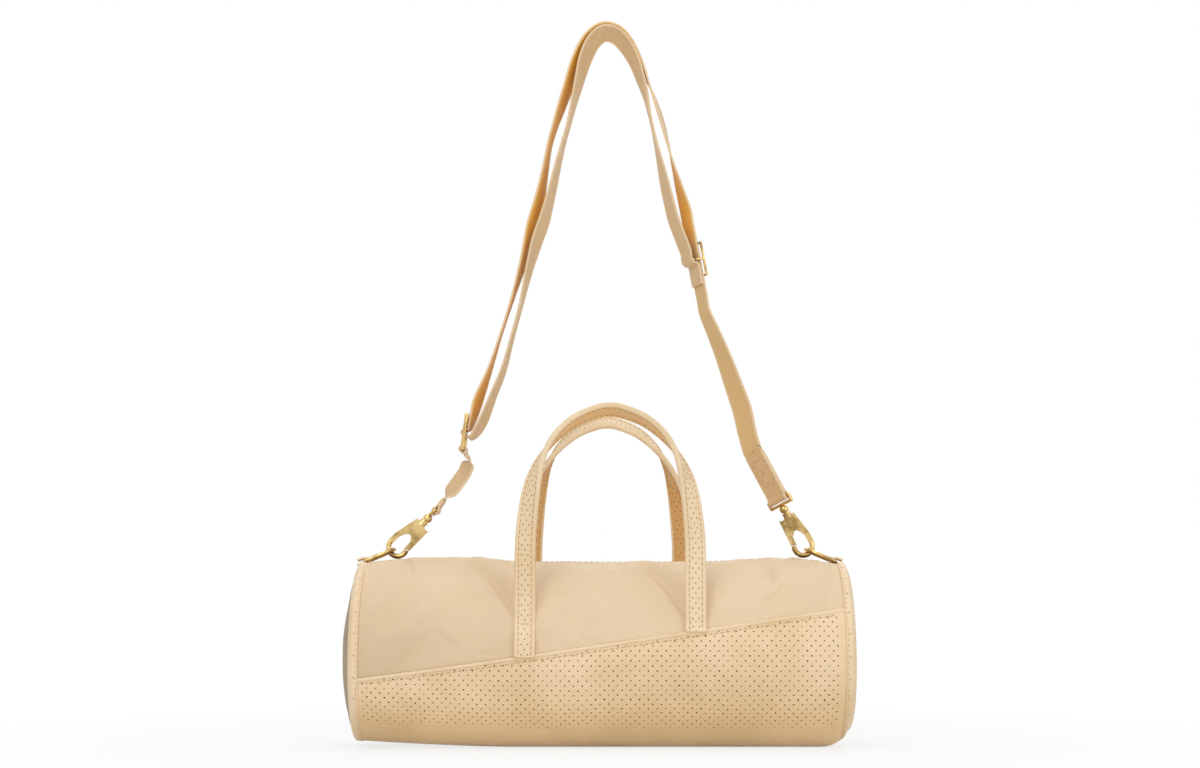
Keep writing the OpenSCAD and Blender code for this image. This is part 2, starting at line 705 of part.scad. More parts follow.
ring_fold_r = loop_wire_r + fit_gap + web_t / 2;
lead = 2;
function along_glide(s) = [
    glide_at[0] + s * glide_way[0],
    glide_at[1] + s * glide_way[1],
    glide_at[2]];
right_eye_at = [
    ring_tip_x - eye_high * cos(right_hook_angle),
    ring_tip_z + eye_high * sin(right_hook_angle)];
function right_tail(s) = [
    right_eye_at[0] - s * cos(right_hook_angle),
    right_eye_at[1] + s * sin(right_hook_angle),
    right_eye_turn];
strap_route = concat(
    [for (x = [fit_gap, lead]) [mid_bar[0] + x, mid_bar[1] + ring_fold_r, 0]],
    [for (s = rising_shares) strap_at(s)],
    [for (k = [-4 : 4]) along_glide(k * straight_step)],
    [for (s = falling_shares) strap_at(s)],
    [for (k = [2, 1, 0]) right_tail(right_tail_len + k * lead)]);
return_route = concat(
    [for (x = [fit_gap, lead]) [mid_bar[0] + x, mid_bar[1] - ring_fold_r, 0]],
    [for (s = return_shares) strap_at(s)],
    [for (k = [-2, -1, 0]) along_glide(k * straight_step / 2) + [return_off * glide_out[0], return_off * glide_out[1], 0]]);

module strap_webbing() {
    color(strap_tan) strip(strap_route, 3);
}

module strap_return() {
    color(strap_tan) strip(return_route, 3);
}

// Half turn of the webbing round the square ring's middle bar
module ring_fold() {
    color(strap_tan) translate([mid_bar[0], 0, mid_bar[1]]) standing(web_w) intersection() {
        difference() {
            circle(r = ring_fold_r + web_t / 2, $fn = small_fn);
            circle(r = ring_fold_r - web_t / 2, $fn = small_fn);
        }
        translate([-reach, -reach / 2]) square([reach, reach]);
    }
}

module square_ring() {
    drop = [low_bar[0] - top_bar[0], low_bar[1] - top_bar[1]];
    color(gold) translate([low_bar[0], 0, low_bar[1]]) rotate([0, atan2(-drop[0], -drop[1]), 0]) {
        for (z = [0, norm(drop)]) translate([0, 0, z]) {
            rod_y(loop_wire_r, 2 * frame_half_w);
            for (s = side_names) translate([0, s * frame_half_w, 0]) ball(loop_wire_r);
        }
        translate([0, 0, (1 - ring_mid_share) * norm(drop)])
            rod_y(mid_bar_share * loop_wire_r, 2 * frame_half_w);
        for (s = side_names) translate([0, s * frame_half_w, 0])
            cylinder(r = loop_wire_r, h = norm(drop), $fn = small_fn);
    }
}

// Adjuster's own frame: z up along the strap, x away from the strap's inside, turned as the strip
module glide_place() {
    translate([glide_at[0], 0, glide_at[1]]) rotate([0, -glide_lean, 0]) rotate([0, 0, glide_at[2]]) children();
}

// Flat frame outside the strap, with its middle bar held in from the sides behind the strap
module tri_glide() {
    half = glide_len / 2;
    bar_r = mid_bar_share * glide_wire_r;
    color(gold) glide_place() {
        for (z = [-half, half]) translate([glide_end_x, 0, z]) {
            rod_y(glide_wire_r, 2 * frame_half_w);
            for (s = side_names) translate([0, s * frame_half_w, 0]) ball(glide_wire_r);
        }
        for (s = side_names) translate([glide_end_x, s * frame_half_w, -half])
            cylinder(r = glide_wire_r, h = glide_len, $fn = small_fn);
        translate([fold_x, 0, 0]) rod_y(bar_r, 2 * frame_half_w);
        for (s = side_names) translate([fold_x, s * frame_half_w, 0]) {
            ball(bar_r);
            rotate([0, 90, 0]) cylinder(r = bar_r, h = glide_end_x - fold_x, $fn = small_fn);
        }
    }
}

// End of the webbing sewn round the adjuster's middle bar, with its short flap
flap_len = 15;
module glide_fold() {
    in_r = glide_wire_r + fit_gap;
    color(strap_tan) glide_place() translate([fold_x, 0, 0]) standing(web_w) {
        difference() {
            circle(r = in_r + web_t, $fn = small_fn);
            circle(r = in_r, $fn = small_fn);
            translate([-reach, 0]) square([reach, reach]);
        }
        translate([in_r, -flap_len]) square([web_t, flap_len]);
    }
}

// The left tab's sewn ends, round the ring's lowest bar and round the left hook's eye
upper_tail_turn = -60;
upper_tail_len = 5.5;
lower_tail_turn = 54;
lower_tail_len = 7;
left_eye_at = [
    -ring_tip_x + eye_high * cos(left_hook_angle),
    ring_tip_z + eye_high * sin(left_hook_angle)];
function tail_point(at, turn, s) = [at[0] + s * cos(turn), at[1] + s * sin(turn), 0];
tab_route = concat(
    [tail_point(low_bar, upper_tail_turn, upper_tail_len),
        tail_point(low_bar, upper_tail_turn, upper_tail_len + lead)],
    [for (s = tab_shares) strap_at(s)],
    [tail_point(left_eye_at, lower_tail_turn, lower_tail_len + lead),
        tail_point(left_eye_at, lower_tail_turn, lower_tail_len)]);

module tab_webbing() {
    color(strap_tan) strip(tab_route, 4);
}

module tab_folds() {
    color(strap_tan) {
        translate([low_bar[0], 0, low_bar[1]]) rotate([0, -upper_tail_turn, 0])
            folded_end(loop_wire_r, upper_tail_len);
        translate([left_eye_at[0], 0, left_eye_at[1]]) rotate([0, -lower_tail_turn, 0])
            folded_end(eye_wire_r, lower_tail_len);
    }
}

module right_strap_fold() {
    color(strap_tan) hook_place(1) translate([eye_high, 0, 0]) rotate([-right_eye_turn, 0, 0])
        folded_end(eye_wire_r, right_tail_len);
}

upper_panel(-1);  // upper_front_panel
upper_panel(1);  // upper_back_panel
perforated_panel(-1);  // front_perforated_panel
perforated_panel(1);  // back_perforated_panel
base_panel();
end_panel(-1);  // left_end_panel
end_panel(1);  // right_end_panel
end_binding(-1);  // left_end_binding
end_binding(1);  // right_end_binding
lining();
base_board();
zip_tapes();
zip_teeth();
zip_stops();
zip_slider();
zip_pull();
handle_anchors(-1);  // front_handle_anchors
handle_anchors(1);  // back_handle_anchors
handle(-1);  // front_handle
handle(1);  // back_handle
ring_tab(-1);  // left_ring_tab
ring_tab(1);  // right_ring_tab
d_ring(-1);  // left_d_ring
d_ring(1);  // right_d_ring
hook_body(-1);  // left_hook_body
hook_gate(-1);  // left_hook_gate
gate_pin(-1);  // left_gate_pin
gate_spring(-1);  // left_gate_spring
swivel_eye(-1);  // left_swivel_eye
hook_body(1);  // right_hook_body
hook_gate(1);  // right_hook_gate
gate_pin(1);  // right_gate_pin
gate_spring(1);  // right_gate_spring
swivel_eye(1);  // right_swivel_eye
strap_webbing();
strap_return();
square_ring();
ring_fold();
tri_glide();
glide_fold();
tab_webbing();
tab_folds();
right_strap_fold();
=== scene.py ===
"""Dresses the barrel crossbody bag's solids with cloth, leather, webbing, stitching and gold metal."""

from __future__ import annotations

import json
import logging
import math
from dataclasses import dataclass
from enum import Enum
from typing import Callable, Sequence

import bmesh
import bpy
import numpy as np
from mathutils import Matrix, Vector

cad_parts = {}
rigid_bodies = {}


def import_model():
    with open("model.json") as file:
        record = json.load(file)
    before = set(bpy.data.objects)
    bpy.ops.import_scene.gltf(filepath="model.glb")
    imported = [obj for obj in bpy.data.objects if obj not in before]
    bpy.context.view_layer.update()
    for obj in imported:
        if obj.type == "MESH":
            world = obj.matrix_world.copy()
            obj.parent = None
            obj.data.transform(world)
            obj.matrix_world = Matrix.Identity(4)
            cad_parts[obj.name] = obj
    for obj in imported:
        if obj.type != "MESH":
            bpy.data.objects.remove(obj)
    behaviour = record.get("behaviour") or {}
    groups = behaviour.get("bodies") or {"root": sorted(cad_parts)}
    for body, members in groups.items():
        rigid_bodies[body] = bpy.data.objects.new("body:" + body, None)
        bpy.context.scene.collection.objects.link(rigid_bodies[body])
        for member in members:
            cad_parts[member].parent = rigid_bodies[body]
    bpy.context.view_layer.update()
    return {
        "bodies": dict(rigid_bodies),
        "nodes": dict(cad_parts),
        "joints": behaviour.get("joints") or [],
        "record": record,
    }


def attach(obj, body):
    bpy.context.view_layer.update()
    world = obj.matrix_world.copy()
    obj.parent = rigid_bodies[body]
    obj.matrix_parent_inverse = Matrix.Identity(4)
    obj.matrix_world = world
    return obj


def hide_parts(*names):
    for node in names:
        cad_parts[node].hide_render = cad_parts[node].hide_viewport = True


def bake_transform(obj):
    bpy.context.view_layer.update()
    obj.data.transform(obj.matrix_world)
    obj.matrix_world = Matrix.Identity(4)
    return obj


LOG = logging.getLogger("crossbody_bag")
MM = 0.001
UV_UNIT = 100.0  # millimetres of cloth to one unit of its UV map
Colour = tuple[float, float, float]
Swell = Callable[[int, np.ndarray, np.ndarray], np.ndarray]
Mesh = bmesh.types.BMesh
Material = bpy.types.Material
Object = bpy.types.Object
Socket = bpy.types.NodeSocket
Y_WAY = np.array([0.0, 1.0, 0.0])


class Named(Enum):
    """One of a pair whose solids' names hold its own name."""

    @property
    def word(self) -> str:
        """The name as the solids' names have it."""
        return self.name.lower()


class Side(Named):
    """The bag's front (towards -Y) and back."""

    FRONT = -1
    BACK = 1


class End(Named):
    """The bag's left (towards -X) and right end."""

    LEFT = -1
    RIGHT = 1


def srgb(red: float, green: float, blue: float) -> Colour:
    """Turns a colour in 0 to 255 display values into the linear values that shaders use.

    Args:
        red, green, blue: display values from 0 to 255.

    Returns:
        The three linear values.
    """

    def linear(value: float) -> float:
        share = value / 255
        return share / 12.92 if share <= 0.04045 else ((share + 0.055) / 1.055) ** 2.4

    return linear(red), linear(green), linear(blue)


def smoothstep(low: float, high: float, value: np.ndarray | float) -> np.ndarray:
    """A soft step from 0 at low to 1 at high."""
    share = np.clip((np.asarray(value, float) - low) / (high - low), 0, 1)
    return share * share * (3 - 2 * share)


# Meshes


def link(obj: Object) -> Object:
    """Puts an object into the scene.

    Args:
        obj: the object.

    Returns:
        The same object.
    """
    bpy.context.scene.collection.objects.link(obj)
    return obj


def finish_mesh(
    name: str,
    bm: Mesh,
    material: Material | Sequence[Material],
    sharp: float = 40,
) -> Object:
    """Makes a smooth-shaded object from a bmesh that is in millimetres.

    Args:
        name: the new object's name.
        bm: its mesh, in millimetres, freed here.
        material: its one material or several.
        sharp: the angle in degrees above which an edge stays sharp.

    Returns:
        The object, at the origin.
    """
    bmesh.ops.transform(bm, matrix=Matrix.Scale(MM, 4), verts=bm.verts)
    mesh = bpy.data.meshes.new(name)
    bm.to_mesh(mesh)
    bm.free()
    for one in [material] if isinstance(material, Material) else material:
        mesh.materials.append(one)
    mesh.shade_smooth()
    mesh.set_sharp_from_angle(angle=math.radians(sharp))
    return link(bpy.data.objects.new(name, mesh))


def uv_layer(bm: Mesh) -> bmesh.types.BMLayerItem:
    """The mesh's UV map, under the name that the materials read."""
    return bm.loops.layers.uv.get("UVMap") or bm.loops.layers.uv.new("UVMap")


def grid(
    bm: Mesh,
    points: np.ndarray,
    uvs: np.ndarray,
    wrap: bool = False,
    flip: bool = False,
    material: int | Callable[[int, int], int] = 0,
) -> None:
    """Adds a grid of quads.

    Args:
        bm: the mesh to add to.
        points: rows by columns by 3, in millimetres.
        uvs: rows by columns by 2, in millimetres, with one more column where the grid wraps.
        wrap: joins the last column to the first.
        flip: turns the faces over.
        material: the faces' material index, or a function of row and column.
    """
    layer = uv_layer(bm)
    rows, columns = points.shape[:2]
    verts = [[bm.verts.new(p) for p in row] for row in points]
    for i in range(rows - 1):
        for j in range(columns if wrap else columns - 1):
            right = (j + 1) % columns
            corners = [(i, j, j), (i, right, j + 1), (i + 1, right, j + 1), (i + 1, j, j)]
            if flip:
                corners.reverse()
            face = bm.faces.new([verts[r][c] for r, c, _ in corners])
            face.smooth = True
            face.material_index = material(i, j) if callable(material) else material
            for loop, (r, _, u) in zip(face.loops, corners):
                loop[layer].uv = uvs[r][u] / UV_UNIT


def uv_row(x: np.ndarray, value: float) -> np.ndarray:
    """UV places along x that share one value across it."""
    return np.stack([x, np.full_like(x, value)], axis=-1)


def side_of(angle: float) -> tuple[int, float]:
    """The side and the degrees from the top, from an angle that goes on round the underside."""
    return (-1, angle) if angle <= 180 else (1, 360 - angle)


@dataclass(frozen=True)
class Settling:
    """A short cloth simulation of a sheet that is a little too large for its held edges."""

    frames: int = 18
    spare: float = 0.025  # how much larger the sheet is, as a share
    pressure: float = 0.6
    quality: int = 6
    mass: float = 0.2
    stretch: float = 12
    shear: float = 4
    bend: float = 0.35
    held_below: float = 0.02  # a point that may move less than this many millimetres is held

    def simulate(self, obj: Object, held: np.ndarray) -> np.ndarray:
        """Runs the simulation.

        Args:
            obj: the sheet, which is left as it was.
            held: the indices of the points that stay in place.

        Returns:
            The settled points, in metres.
        """
        group = obj.vertex_groups.new(name="held")
        group.add([int(i) for i in held], 1.0, "REPLACE")
        cloth = obj.modifiers.new("settling", "CLOTH")
        how = cloth.settings
        how.quality = self.quality
        how.mass = self.mass
        how.tension_stiffness = how.compression_stiffness = self.stretch
        how.shear_stiffness = self.shear
        how.bending_stiffness = self.bend
        how.vertex_group_mass = group.name
        how.effector_weights.gravity = 0
        how.shrink_min = -self.spare
        how.use_pressure = True
        how.uniform_pressure_force = self.pressure
        cloth.point_cache.frame_start, cloth.point_cache.frame_end = 1, self.frames
        for frame in range(1, self.frames + 1):
            bpy.context.scene.frame_set(frame)
        points = read_points(obj.evaluated_get(bpy.context.evaluated_depsgraph_get()).data)
        obj.modifiers.remove(cloth)
        obj.vertex_groups.clear()
        return points

    def run(self, obj: Object, limit: Callable[[np.ndarray], np.ndarray]) -> None:
        """Lets the sheet buckle into soft folds and keeps the result.

        Args:
            obj: the sheet.
            limit: from the points in millimetres, how far each may move, 0 where it is held.
        """
        rest = read_points(obj.data) / MM
        reach = limit(rest)
        shift = self.simulate(obj, np.nonzero(reach < self.held_below)[0]) / MM - rest
        length = np.maximum(np.linalg.norm(shift, axis=1), 1e-9)
        LOG.info("%s settled: mean %.2f mm, most %.2f mm", obj.name, length.mean(), length.max())
        kept = reach * np.tanh(length / np.maximum(reach, 1e-6))
        moved = rest + shift * (kept / length)[:, None]
        obj.data.vertices.foreach_set("co", (moved * MM).ravel())
        obj.data.update()
        bpy.context.scene.frame_set(1)


def read_points(mesh: bpy.types.Mesh) -> np.ndarray:
    """A mesh's points, one a row."""
    flat = np.empty(len(mesh.vertices) * 3)
    mesh.vertices.foreach_get("co", flat)
    return flat.reshape(-1, 3)


def cap(bm: Mesh) -> None:
    """Closes the open ends of every tube in the mesh."""
    bmesh.ops.holes_fill(bm, edges=[e for e in bm.edges if e.is_boundary], sides=0)
    bmesh.ops.recalc_face_normals(bm, faces=bm.faces)


@dataclass
class Station:
    """One place along a strip: its middle, the way of its width and the way of its thickness."""

    centre: np.ndarray
    width: np.ndarray
    thick: np.ndarray


def curve_through(points: Sequence[Sequence[float]], steps: int) -> np.ndarray:
    """A Catmull-Rom curve through points of any number of values.

    Args:
        points: the points, each with the same number of values.
        steps: how many new points each stretch gets.

    Returns:
        The curve's points, one a row.
    """
    p = np.asarray(points, float)
    padded = np.vstack([p[:1], p, p[-1:]])
    t = np.linspace(0, 1, steps, endpoint=False)[:, None]
    made = []
    for i in range(len(p) - 1):
        a, b, c, d = padded[i : i + 4]
        square, cube = 2 * a - 5 * b + 4 * c - d, -a + 3 * b - 3 * c + d
        made.append((2 * b + (c - a) * t + square * t**2 + cube * t**3) / 2)
    return np.vstack([*made, p[-1:]])


def unit(v: np.ndarray) -> np.ndarray:
    """The vector at length 1."""
    return v / max(np.linalg.norm(v), 1e-9)


def headings(points: np.ndarray) -> np.ndarray:
    """The way a line of points runs at each of them."""
    ahead = np.vstack([points[1:], points[-1:]])
    behind = np.vstack([points[:1], points[:-1]])
    return np.array([unit(v) for v in ahead - behind])


def distances(points: np.ndarray) -> np.ndarray:
    """The length of a line of points up to each of them."""
    return np.concatenate([[0], np.cumsum(np.linalg.norm(np.diff(points, axis=0), axis=1))])


def flat_strip(route: np.ndarray) -> list[Station]:
    """Stations of a strip that runs in the bag's upright middle plane.

    Args:
        route: rows of x, z and the turn in degrees that shows the strip's inner face.

    Returns:
        One station for each row.
    """
    made = []
    for (x, z, turn), (dx, dz) in zip(route, headings(route[:, :2])):
        out = np.array([-dz, 0.0, dx])
        a = math.radians(turn)
        width = Y_WAY * math.cos(a) - out * math.sin(a)
        thick = out * math.cos(a) + Y_WAY * math.sin(a)
        made.append(Station(np.array([x, 0.0, z]), width, thick))
    return made


def strip_mesh(
    bm: Mesh,
    stations: Sequence[Station],
    section: Sequence[tuple[float, float]],
    start: float = 0.0,
    face_of: Callable[[int, int], int] | int = 0,
) -> None:
    """Sweeps a closed section along stations.

    Args:
        bm: the mesh to add to.
        stations: where the section goes.
        section: points of width and thickness, in order round it.
        start: the length in millimetres that the UV map starts from.
        face_of: the faces' material index, or a function of row and column.
    """
    points = np.array([[s.centre + w * s.width + t * s.thick for w, t in section] for s in stations])
    run = start + distances(np.array([s.centre for s in stations]))
    across = [w for w, _ in section] + [section[0][0]]
    uvs = np.array([[(u, v) for u in across] for v in run])
    grid(bm, points, uvs, wrap=True, material=face_of)


def band_section(width: float, thick: float, round_by: float = 0.35) -> list[tuple[float, float]]:
    """The outline of a woven band: flat faces, soft edges and a faint selvedge."""
    w, t = width / 2, thick / 2
    return [
        (w, -t + round_by), (w, t - round_by), (w - round_by, t), (w - 1.2, t), (w - 1.7, t - 0.08),
        (0.0, t - 0.05),
        (-w + 1.7, t - 0.08), (-w + 1.2, t), (-w + round_by, t), (-w, t - round_by),
        (-w, -t + round_by), (-w + round_by, -t), (-w + 1.2, -t), (-w + 1.7, -t + 0.08),
        (0.0, -t + 0.05),
        (w - 1.7, -t + 0.08), (w - 1.2, -t), (w - round_by, -t),
    ]


@dataclass(frozen=True)
class Thread:
    """Sewing thread as it lies on the surface."""

    length: float = 2.5
    gap: float = 0.9
    radius: float = 0.3
    sink: float = 0.35
    slant: float = 0.16  # each stitch lies a little aslant, as a lockstitch does

    def sew(self, bm: Mesh, line: np.ndarray, normals: np.ndarray) -> None:
        """Adds a row of stitches.

        Args:
            bm: the mesh to add to.
            line: points along the row, in millimetres.
            normals: the surface's outward way at each of them.
        """
        run = distances(line)
        pitch = self.length + self.gap
        count = int((run[-1] - self.gap) / pitch)
        offset = (run[-1] - count * pitch + self.gap) / 2

        def place(rows: np.ndarray, s: float) -> np.ndarray:
            return np.array([np.interp(s, run, rows[:, i]) for i in range(3)])

        for k in range(count):
            start = offset + k * pitch
            ends = place(line, start), place(line, start + self.length)
            out = unit(place(normals, start + self.length / 2))
            way = ends[1] - ends[0]
            way = way + unit(np.cross(out, way)) * self.slant
            side = unit(np.cross(out, way))
            up = unit(np.cross(way, side))
            centre = (ends[0] + ends[1]) / 2 + out * self.radius * (1 - 2 * self.sink)
            frame = np.column_stack([way / 2, side * self.radius, up * self.radius])
            matrix = Matrix([[*frame[i], centre[i]] for i in range(3)] + [[0, 0, 0, 1]])
            matrix = matrix @ Matrix.Rotation(math.pi / 2, 4, "Y")
            bmesh.ops.create_uvsphere(bm, u_segments=6, v_segments=5, radius=1.0, matrix=matrix)


# Materials


@dataclass(frozen=True)
class Punching:
    """Staggered round holes on a UV map, in millimetres.

    pitch_u and pitch_v are the distances between holes and between rows, radius is the holes' own
    and half_width is how far from the strip's middle they reach.
    """

    pitch_u: float
    pitch_v: float
    radius: float
    half_width: float


class Shader:
    """A node material under construction, with its bumps chained one on another."""

    def __init__(self, name: str, colour: Colour, roughness: float, metallic: float = 0.0) -> None:
        self.material = bpy.data.materials.new(name)
        self.material.use_nodes = True
        self.tree = self.material.node_tree
        self.bsdf = self.tree.nodes["Principled BSDF"]
        self.bsdf.inputs["Base Color"].default_value = (*colour, 1)
        self.bsdf.inputs["Roughness"].default_value = roughness
        self.bsdf.inputs["Metallic"].default_value = metallic
        self.colour = colour
        self.tint = None
        self.normal = None
        self.place = self.add("ShaderNodeTexCoord").outputs["Object"]

    def add(self, kind: str, **settings: object) -> bpy.types.Node:
        """Adds a node and sets its options."""
        node = self.tree.nodes.new(kind)
        for key, value in settings.items():
            setattr(node, key, value)
        return node

    def join(self, source: float | Socket, target: Socket) -> None:
        """Feeds a socket from a number or from another socket."""
        if isinstance(source, (int, float)):
            target.default_value = source
        else:
            self.tree.links.new(source, target)

    def math(
        self, operation: str, a: float | Socket, b: float | Socket = 0.0, c: float = 0.0
    ) -> Socket:
        """A Math node's result."""
        node = self.add("ShaderNodeMath", operation=operation)
        for value, socket in zip((a, b, c), node.inputs):
            self.join(value, socket)
        return node.outputs[0]

    def noise(self, scale: float, detail: float = 3.0, roughness: float = 0.5) -> Socket:
        """A noise texture's factor, with its scale in waves a metre."""
        node = self.add("ShaderNodeTexNoise")
        self.join(self.place, node.inputs["Vector"])
        node.inputs["Scale"].default_value = scale
        node.inputs["Detail"].default_value = detail
        node.inputs["Roughness"].default_value = roughness
        return node.outputs["Fac"]

    def cells(self, scale: float) -> Socket:
        """The distance to the nearest cell's middle in a Voronoi texture."""
        node = self.add("ShaderNodeTexVoronoi", feature="SMOOTH_F1")
        self.join(self.place, node.inputs["Vector"])
        node.inputs["Scale"].default_value = scale
        return node.outputs["Distance"]

    def uv_mm(self) -> tuple[Socket, Socket]:
        """The piece's own UV map in millimetres, across and along."""
        node = self.add("ShaderNodeUVMap", uv_map="UVMap")
        split = self.add("ShaderNodeSeparateXYZ")
        self.join(node.outputs["UV"], split.inputs[0])
        return (
            self.math("MULTIPLY", split.outputs["X"], UV_UNIT),
            self.math("MULTIPLY", split.outputs["Y"], UV_UNIT),
        )

    def along(self, axis: str) -> Socket:
        """The object's own coordinate along one axis, in metres."""
        node = self.add("ShaderNodeSeparateXYZ")
        self.join(self.place, node.inputs[0])
        return node.outputs[axis]

    def weave(self, k: float) -> Socket:
        """The relief of a plain weave on the UV map, with k radians to a millimetre."""
        u, v = (self.math("SINE", self.math("MULTIPLY", way, k)) for way in self.uv_mm())
        return self.math("MULTIPLY", u, v)

    def ramp(
        self, factor: Socket, low: float, high: float, out_low: float, out_high: float
    ) -> Socket:
        """Maps a factor smoothly from one span to another."""
        node = self.add("ShaderNodeMapRange", interpolation_type="SMOOTHSTEP")
        self.join(factor, node.inputs["Value"])
        names = ("From Min", "From Max", "To Min", "To Max")
        for key, value in zip(names, (low, high, out_low, out_high)):
            node.inputs[key].default_value = value
        return node.outputs["Result"]

    def shade(self, factor: object, other: Colour) -> None:
        """Mixes another colour into the base colour by a factor."""
        node = self.add("ShaderNodeMix", data_type="RGBA")
        self.join(factor, node.inputs[0])
        if self.tint is None:
            node.inputs[6].default_value = (*self.colour, 1)
        else:
            self.join(self.tint, node.inputs[6])
        node.inputs[7].default_value = (*other, 1)
        self.tint = node.outputs[2]
        self.join(self.tint, self.bsdf.inputs["Base Color"])

    def mottle(
        self, scale: float, detail: float, low: float, high: float, most: float, other: Colour
    ) -> None:
        """Mixes another colour in where a noise rises from low to high, by up to a share of most."""
        self.shade(self.ramp(self.noise(scale, detail), low, high, 0.0, most), other)

    def bump(self, height: Socket, distance: float, strength: float = 1.0) -> None:
        """Adds relief of that depth in metres."""
        node = self.add("ShaderNodeBump")
        self.join(height, node.inputs["Height"])
        node.inputs["Distance"].default_value = distance
        node.inputs["Strength"].default_value = strength
        if self.normal is not None:
            self.join(self.normal, node.inputs["Normal"])
        self.normal = node.outputs["Normal"]
        self.join(self.normal, self.bsdf.inputs["Normal"])

    def rough(self, factor: object, low: float, high: float) -> None:
        """Varies the roughness between two values."""
        self.join(self.ramp(factor, 0.25, 0.75, low, high), self.bsdf.inputs["Roughness"])

    def sheen(self, weight: float, roughness: float, tint: Colour) -> None:
        """Gives the cloth its soft halo."""
        self.bsdf.inputs["Sheen Weight"].default_value = weight
        self.bsdf.inputs["Sheen Roughness"].default_value = roughness
        self.bsdf.inputs["Sheen Tint"].default_value = (*tint, 1)

    def dots(self, holes: Punching) -> Socket:
        """A mask on the UV map, 1 in a hole and 0 elsewhere."""
        u, v = self.uv_mm()
        row = self.math("DIVIDE", v, holes.pitch_v)
        odd = self.math("MODULO", self.math("FLOOR", row), 2.0)
        stagger = self.math("MULTIPLY", odd, 0.5)
        column = self.math("ADD", self.math("DIVIDE", u, holes.pitch_u), stagger)
        away = []
        for place, pitch in ((column, holes.pitch_u), (row, holes.pitch_v)):
            off = self.math("SUBTRACT", self.math("FRACT", place), 0.5)
            off = self.math("MULTIPLY", off, pitch)
            away.append(self.math("MULTIPLY", off, off))
        distance = self.math("SQRT", self.math("ADD", *away))
        hole = self.ramp(distance, holes.radius * 0.75, holes.radius * 1.15, 1.0, 0.0)
        edge = holes.half_width
        inside = self.ramp(self.math("ABSOLUTE", u), edge - 0.1, edge, 1.0, 0.0)
        return self.math("MULTIPLY", hole, inside)


@dataclass(frozen=True)
class Finishes:
    """Every material of the bag."""

    nylon: Material
    leather: Material
    punched: Material
    handle: Material
    binding: Material
    hole: Material
    end_cloth: Material
    lining: Material
    tape: Material
    webbing: Material
    webbing_shaded: Material
    base: Material
    handle_edge: Material
    handle_inner_shade: Material
    handle_back_shade: Material
    thread: Material
    gold: Material
    board: Material


BOARD_LONG, BOARD_WIDE, BOARD_LOW, BOARD_THICK = 280.0, 36.0, 2.1, 2.0
# Distance between each handle's legs, and the x of their middle
HANDLE_SPREADS = {Side.FRONT: (99.0, 6.0), Side.BACK: (94.0, 4.5)}
CLOTH_REACH = 1.9  # the furthest that settling may move the nylon, in millimetres
HANDLE_HOLES = Punching(3.6, 2.9, 0.42, 3.1)
BINDING_HOLES = Punching(6.0, 6.4, 0.4, 1.6)
STRAP_SINGLE_FROM = 430.0  # millimetres along the strap from the square ring to the adjuster
GRAIN_DEPTH = 0.00012
NYLON = srgb(230, 206, 172)
LEATHER = srgb(236, 209, 171)
LEATHER_LIGHT = srgb(237, 213, 177)
# Colour of the painted shade on the body's leather towards its underside
LEATHER_UNDERSIDE_SHADE = srgb(238, 205, 154)
# Painted shade on the handles' inner faces: the front one, then the deeper back one
LEATHER_INNER_SHADE = srgb(234, 190, 134)
LEATHER_BACK_SHADE = srgb(214, 164, 100)
WEB = srgb(222, 189, 143)
# Painted shade and warm light bounced between the strap's layers, on the loop's inner face
WEB_SHADED = srgb(250, 188, 56)


def make_nylon() -> Material:
    """Soft matt nylon with a very fine plain weave."""
    s = Shader("padded_nylon", NYLON, 0.62)
    s.mottle(14, 4, 0.35, 0.7, 0.35, srgb(214, 187, 150))
    # Painted shade: the nylon is darker low down towards the left end
    left = s.ramp(s.along("X"), -0.15, 0.0, 0.55, 0.0)
    low = s.ramp(s.along("Z"), 0.06, 0.105, 1.0, 0.0)
    s.shade(s.math("MULTIPLY", left, low), srgb(204, 176, 140))
    s.mottle(900, 2, 0.3, 0.8, 0.16, srgb(200, 172, 134))
    s.bump(s.noise(38, 3, 0.45), 0.0009, 0.35)
    s.bump(s.weave(14.0), 0.00003, 0.5)
    s.rough(s.noise(60, 2), 0.56, 0.68)
    s.sheen(0.12, 0.4, (1.0, 0.95, 0.88))
    return s.material


def leather_grain(s: Shader) -> None:
    """Adds fine pebbles, creases and uneven gloss."""
    pebble = s.cells(1150)
    s.mottle(17, 4, 0.42, 0.66, 0.42, srgb(212, 180, 128))
    # Painted shade: the hollows between the pebbles are darker
    s.shade(s.ramp(pebble, 0.5, 0.95, 0.0, 0.16), srgb(176, 143, 102))
    s.bump(s.noise(75, 4, 0.55), 0.0005, 0.3)
    s.bump(pebble, -GRAIN_DEPTH, 0.55)
    s.bump(s.noise(2600, 2), GRAIN_DEPTH / 3, 0.4)
    s.rough(s.noise(240, 3), 0.44, 0.62)


def make_leather(name: str, colour: Colour, body: bool = False) -> Material:
    """Plain grained leather. The body's gets painted shade towards its underside, deeper and more golden.
    """
    s = Shader(name, colour, 0.5)
    if body:
        # Painted shade: the body's leather turns deeper and more golden towards the underside
        s.shade(s.ramp(s.along("Z"), 0.008, 0.046, 0.8, 0.0), LEATHER_UNDERSIDE_SHADE)
    leather_grain(s)
    return s.material


def make_punched(name: str, colour: Colour, holes: Punching) -> Material:
    """Leather with rows of punched holes on its UV map."""
    s = Shader(name, colour, 0.5)
    leather_grain(s)
    hole = s.dots(holes)
    # Painted shade: each hole is painted dark inside
    s.shade(s.math("MULTIPLY", hole, 0.72), srgb(120, 88, 50))
    s.bump(hole, -0.0005, 0.9)
    return s.material


def make_hole() -> Material:
    """The near-black walls and floor of the punched holes, painted shade inside them."""
    s = Shader("hole_backing_shade", srgb(34, 20, 10), 0.9)
    s.mottle(420, 2, 0.35, 0.65, 0.5, srgb(72, 48, 26))
    s.bump(s.noise(2000, 2), 0.0002, 0.6)
    return s.material


